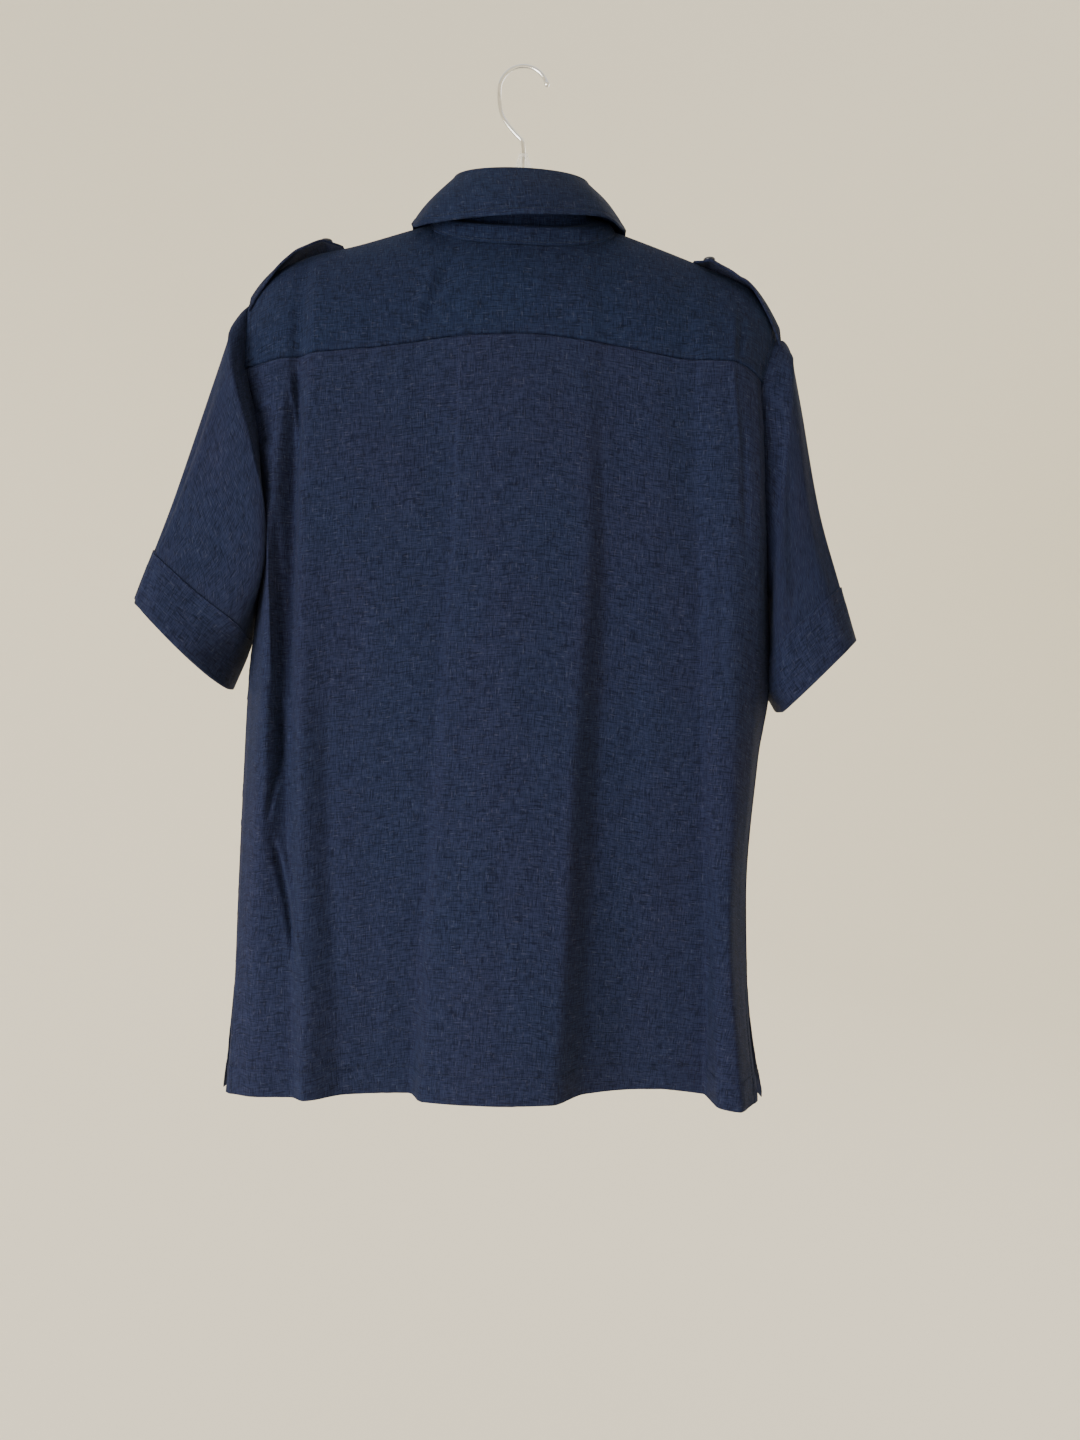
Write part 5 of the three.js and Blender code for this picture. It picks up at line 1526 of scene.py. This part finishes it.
class SHIRT_OT_pockets(bpy.types.Operator):
    """Make both chest pockets and their flaps"""

    bl_idname = "shirt.pockets"
    bl_label = "Pockets"

    def execute(self, context):
        for side in (LEFT, RIGHT):
            name = SIDE_NAMES[side]
            pit = ARMPIT[side]
            shares = pocket_shares(side)
            heights = (pit + POCKET["top"], pit + POCKET["foot"])
            grid = patch_grid(side, shares, heights, 1.25, 52, 56, clip=12)
            for edge in ("first", "last", "foot"):
                grid = sewn(grid, edge, 2, side, raised=0.0, groove=0.35, pucker=0.3, seed=71)
                stitch("pockets", grid, edge, 2, side)
            pocket = f"pocket_{name}"
            sew_piece(f"chest_{pocket}", grid, 0.9, "pocket", [pocket], side)
            heights = (pit + POCKET["flap_top"], pit + POCKET["flap_foot"])
            flap = patch_grid(side, shares, heights, 2.7, 52, 28, clip=7)
            for edge in ("first", "last", "foot", "top"):
                flap = sewn(flap, edge, 4.5, side, raised=0.2, groove=0.35, pucker=0.2, seed=73)
                stitch("pockets", flap, edge, 4.5, side)
            replaced = [f"pocket_flap_{name}"]
            sew_piece(f"chest_flap_{name}", flap, 1.2, "pocket_flap", replaced, side)
        return {"FINISHED"}


class SHIRT_OT_buttons(bpy.types.Operator):
    """Make the buttons of the front, the pockets and the straps"""

    bl_idname = "shirt.buttons"
    bl_label = "Buttons"

    def execute(self, context):
        look = context.scene.shirt_buttons
        groups = {"front": [], "pockets": [], "straps": []}
        for k in range(look.count):
            z = FIRST_BUTTON - k * look.spacing / MM
            x = float(centre_x(z))
            groups["front"].append(((x, float(front_depth(x, z)) - 1.9, z), (0, -1, 0)))
        for side in (LEFT, RIGHT):
            middle = sum(pocket_shares(side)) / 2
            z = ARMPIT[side] + float(POCKET["button"])
            x = float(front_place(side, middle, z))
            groups["pockets"].append(((x, float(front_depth(x, z)) - 3.1, z), (0, -1, 0.02)))
            seat = strap_grid(side)[STRAP_BUTTON]
            groups["straps"].append(((seat[0], seat[1], seat[2] + 0.2), (0, 0, 1)))
        nodes = {
            "front": [f"button_front_{k + 1}" for k in range(7)],
            "pockets": ["button_pocket_left", "button_pocket_right"],
            "straps": ["button_epaulette_left", "button_epaulette_right"],
        }
        tree = button_tree()
        for group, seats in groups.items():
            mesh = bpy.data.meshes.new("seats")
            mesh.from_pydata([[v * MM for v in at] for at, _ in seats], [], [])
            facing = np.array([way for _, way in seats], float).reshape(-1)
            mesh.attributes.new("facing", "FLOAT_VECTOR", "POINT").data.foreach_set("vector", facing)
            made = grow(f"buttons_{group}", mesh, tree, {
                "Radius": look.radius, "Thickness": look.thickness, "Rim": look.rim,
                "Hole Radius": look.hole_radius, "Hole Place": look.hole_place, "Resin": button_resin(),
            })
            place(f"buttons_{group}", made, button_resin(), "button", nodes[group])
        return {"FINISHED"}


class SHIRT_OT_stitches(bpy.types.Operator):
    """Sew the stitch lines that the pieces have noted"""

    bl_idname = "shirt.stitches"
    bl_label = "Stitching"

    def execute(self, context):
        if not SEAMS:
            raise RuntimeError("make the pieces of cloth before the stitching")
        cloth = settings()
        tree = stitch_tree()
        for group in sorted({name for name, _ in SEAMS}):
            lines = [line for name, line in SEAMS if name == group]
            made = grow(f"stitches_{group}", line_mesh("lines", lines), tree, {
                "Stitch Length": cloth.stitch_length, "Stitch Gap": cloth.stitch_gap,
                "Thread Radius": cloth.thread_radius, "Thread": thread(),
            })
            place(f"stitches_{group}", made, thread(), "cloth")
        return {"FINISHED"}


def smooth_path(points, count):
    """Even points on the curve through the given ones."""
    p = np.asarray(points, float)
    p = np.concatenate([[2 * p[0] - p[1]], p, [2 * p[-1] - p[-2]]])
    out = []
    for i in range(1, len(p) - 2):
        t = [0.0]
        for a, b in ((i - 1, i), (i, i + 1), (i + 1, i + 2)):
            t.append(t[-1] + np.linalg.norm(p[b] - p[a]) ** 0.5)
        for u in np.linspace(t[1], t[2], 24, endpoint=i == len(p) - 3):
            a1 = lerp(p[i - 1], p[i], (u - t[0]) / (t[1] - t[0]))
            a2 = lerp(p[i], p[i + 1], (u - t[1]) / (t[2] - t[1]))
            a3 = lerp(p[i + 1], p[i + 2], (u - t[2]) / (t[3] - t[2]))
            b1 = lerp(a1, a2, (u - t[0]) / (t[2] - t[0]))
            b2 = lerp(a2, a3, (u - t[1]) / (t[3] - t[1]))
            out.append(lerp(b1, b2, (u - t[1]) / (t[2] - t[1])))
    out = np.array(out)
    run = np.concatenate([[0], np.cumsum(np.linalg.norm(np.diff(out, axis=0), axis=1))])
    at = np.linspace(0, run[-1], count)
    return np.stack([np.interp(at, run, out[:, k]) for k in range(3)], axis=1)


class SHIRT_OT_hook(bpy.types.Operator):
    """Make the hanger's wire hook"""

    bl_idname = "shirt.hook"
    bl_label = "Hook"

    def execute(self, context):
        radius = context.scene.shirt_hanger.wire / MM
        bend, centre = HOOK_BEND["radius"], HOOK_BEND["centre"]
        angles = np.radians(np.arange(*HOOK_BEND["angles"]))
        places = [(bend * math.cos(a), 0, centre + bend * math.sin(a)) for a in angles]
        places += [(x, 0, z) for x, z in HOOK_SHANK]
        line = smooth_path(places, 170)
        ahead = line[0] - line[1]
        ahead /= np.linalg.norm(ahead)
        tip = [line[0] + ahead * d for d in (2.4, 2.2, 1.7, 1.0)]
        line = np.concatenate([tip, line])
        size = np.full(len(line), radius)
        size[:9] = radius * np.array([0.12, 0.6, 1.0, 1.28, 1.35, 1.35, 1.25, 1.12, 1.03])
        mesh = line_mesh("hook_line", [line], radius=size)
        made = grow("hanger_hook", mesh, wire_tree(), {"Sides": 20, "Metal": polished_steel()})
        place("hanger_hook", made, polished_steel(), "steel", ["hook"])
        return {"FINISHED"}


class SHIRT_OT_hanger(bpy.types.Operator):
    """Make the clear hanger: a thin web between moulded rims"""

    bl_idname = "shirt.hanger"
    bl_label = "Hanger"

    def execute(self, context):
        look = context.scene.shirt_hanger
        half, gap, tip, notch = (HANGER[name] for name in ("half", "under_ridge", "tip", "notch"))
        arms = (np.linspace(-half, -20, 70), np.linspace(20, half, 70))
        x = np.concatenate([arms[0], np.linspace(-19, 19, 41), arms[1]])
        size = np.abs(x)
        neck_end = HANGER_NECK[-1, 0]
        sloped = np.interp(size, HANGER_NECK[:, 0], HANGER_NECK[:, 1]) + np.where(size > 30, LEAN * x, 0)
        arm = ridge(x) - gap - 2.6 * np.clip((110 - size) / 26, 0, 1)
        top = np.where(size < neck_end, sloped, lerp(sloped, arm, smooth((size - neck_end) / 20)))
        end = np.clip((size - tip) / HANGER["tip_run"], 0, 1)
        tip_ridge, notch_ridge = ridge(np.sign(x) * tip), ridge(np.sign(x + 1e-9) * notch)
        foot = gap + HANGER["arm"]
        top = np.where(size > tip, tip_ridge - gap - HANGER["tip_run"] * end, top)
        under = lerp(HANGER["notch_z"], notch_ridge - foot, np.clip((size - 14) / 70, 0, 1))
        low = np.where(size < notch, under, ridge(x) - foot)
        low = np.where(size > tip, lerp(tip_ridge - foot, top - 0.8, end), low)
        tall = top - low
        rim, web = look.rim / MM, look.web / MM
        sections = []
        edge = np.minimum(3.2, tall * 0.35)
        for share, out in ((0, 0.35), (0.25, 0.8), (0.6, 1), (1, 1)):
            sections.append((share * edge, out * rim))
        sections.append((edge + np.minimum(0.8, tall * 0.05), np.full_like(x, web)))
        ups = [np.broadcast_to(d, x.shape) for d, _ in sections]
        outs = [np.broadcast_to(o, x.shape) for _, o in sections]
        profile = [(top - u, o) for u, o in zip(ups, outs)]
        profile += [(low + u, o) for u, o in zip(ups[::-1], outs[::-1])]
        profile += [(z, -o) for z, o in profile[::-1]]
        grid = np.stack([np.stack([x, o, z], axis=-1) for z, o in profile], axis=1)
        columns, rows = grid.shape[:2]
        ids = np.arange(columns * rows).reshape(columns, rows)
        faces = []
        for i in range(columns - 1):
            for j in range(rows):
                k = (j + 1) % rows
                faces.append((ids[i, j], ids[i + 1, j], ids[i + 1, k], ids[i, k]))
        faces.append(tuple(ids[0]))
        faces.append(tuple(ids[-1][::-1]))
        mesh = bpy.data.meshes.new("clear_hanger")
        mesh.from_pydata((grid.reshape(-1, 3) * MM).tolist(), [], [tuple(int(v) for v in f) for f in faces])
        mesh.validate()
        work = bmesh.new()
        work.from_mesh(mesh)
        bmesh.ops.remove_doubles(work, verts=work.verts, dist=1e-6)
        bmesh.ops.recalc_face_normals(work, faces=work.faces)
        work.to_mesh(mesh)
        work.free()
        mesh.polygons.foreach_set("use_smooth", np.ones(len(mesh.polygons), bool))
        mesh.set_sharp_from_angle(angle=math.radians(50))
        place("clear_hanger", mesh, clear_plastic(), "clear_plastic", ["hanger"])
        return {"FINISHED"}


class SHIRT_OT_stage(bpy.types.Operator):
    """Make the pale ground, the soft lights and the camera"""

    bl_idname = "shirt.stage"
    bl_label = "Studio"

    def execute(self, context):
        stage = context.scene.shirt_stage
        bend, sides = stage.bend, 96
        profile = [(0.0, 0.0), (stage.radius - bend, 0.0)]
        for k in range(1, 17):
            turn = math.pi / 2 * k / 16
            profile.append((stage.radius - bend + bend * math.sin(turn), bend * (1 - math.cos(turn))))
        profile.append((stage.radius, 5.0))
        points, faces = [(0, 0, stage.floor)], []
        for r, h in profile[1:]:
            for k in range(sides):
                turn = 2 * math.pi * k / sides
                points.append((r * math.cos(turn), r * math.sin(turn), stage.floor + h))
        for k in range(sides):
            faces.append((0, 1 + k, 1 + (k + 1) % sides))
        for ring in range(len(profile) - 2):
            base = 1 + ring * sides
            for k in range(sides):
                n = (k + 1) % sides
                faces.append((base + k, base + sides + k, base + sides + n, base + n))
        mesh = bpy.data.meshes.new("studio_ground")
        mesh.from_pydata(points, [], faces)
        mesh.polygons.foreach_set("use_smooth", np.ones(len(faces), bool))
        mesh.materials.append(plain_wall())
        ground = bpy.data.objects.new("studio_ground", mesh)
        ground.visible_shadow = False
        context.scene.collection.objects.link(ground)

        world = bpy.data.worlds.new("studio")
        world.use_nodes = True
        sky = world.node_tree.nodes["Background"]
        sky.inputs["Color"].default_value = (1.0, 0.975, 0.93, 1)
        sky.inputs["Strength"].default_value = stage.sky
        context.scene.world = world

        lights = (
            ("key_light", (1.7, 1.75, -0.9), (0.0, 0.0, -0.65), 1.5, stage.key, (1.0, 0.98, 0.95)),
            ("fill_light", (-1.1, -1.5, 0.3), (0.0, 0.0, -0.5), 1.4, stage.fill, (0.97, 0.98, 1.0)),
        )
        for name, at, to, size, power, colour in lights:
            data = bpy.data.lights.new(name, "AREA")
            data.size, data.energy, data.color = size, power, colour
            lamp = bpy.data.objects.new(name, data)
            lamp.location = at
            aim = np.array(to) - np.array(at)
            lamp.rotation_euler = (
                math.atan2(math.hypot(aim[0], aim[1]), -aim[2]), 0, math.atan2(aim[1], aim[0]) - math.pi / 2)
            lamp.visible_camera = False
            context.scene.collection.objects.link(lamp)

        data = bpy.data.cameras.new("photo_view")
        data.lens = CAMERA["film"] * CAMERA["focal"] / CAMERA["height"]
        data.sensor_width = data.sensor_height = CAMERA["film"]
        data.sensor_fit = "AUTO"
        data.clip_start = 0.05
        camera = bpy.data.objects.new("photo_view", data)
        camera.location = CAMERA["place"]
        camera.rotation_euler = (math.pi / 2, 0, math.pi)
        context.scene.collection.objects.link(camera)
        context.scene.camera = camera
        return {"FINISHED"}


class SHIRT_PT_panel(bpy.types.Panel):
    """Lists the shirt's sizes, colours and pieces"""

    bl_idname = "SHIRT_PT_panel"
    bl_label = "Safari Shirt"
    bl_space_type = "VIEW_3D"
    bl_region_type = "UI"
    bl_category = "Shirt"

    def draw(self, context):
        for group in SETTINGS:
            box = self.layout.box()
            values = getattr(context.scene, group)
            for name in values.__annotations__:
                box.prop(values, name)
        for operator in OPERATORS:
            self.layout.operator(operator.bl_idname)


SETTINGS = {
    "shirt_cloth": ClothSettings,
    "shirt_buttons": ButtonSettings,
    "shirt_hanger": HangerSettings,
    "shirt_stage": StageSettings,
}
OPERATORS = (
    SHIRT_OT_stage, SHIRT_OT_back, SHIRT_OT_fronts, SHIRT_OT_yoke, SHIRT_OT_sleeves, SHIRT_OT_collar,
    SHIRT_OT_straps, SHIRT_OT_pockets, SHIRT_OT_buttons, SHIRT_OT_stitches, SHIRT_OT_hanger, SHIRT_OT_hook,
)


def register():
    for group in SETTINGS.values():
        bpy.utils.register_class(group)
    for name, group in SETTINGS.items():
        setattr(bpy.types.Scene, name, PointerProperty(type=group))
    for operator in OPERATORS:
        bpy.utils.register_class(operator)
    bpy.utils.register_class(SHIRT_PT_panel)


def unregister():
    bpy.utils.unregister_class(SHIRT_PT_panel)
    for operator in reversed(OPERATORS):
        bpy.utils.unregister_class(operator)
    for name, group in SETTINGS.items():
        delattr(bpy.types.Scene, name)
        bpy.utils.unregister_class(group)


def main():
    register()
    for operator in OPERATORS:
        family, name = operator.bl_idname.split(".")
        getattr(getattr(bpy.ops, family), name)()


if __name__ == "__main__":
    main()
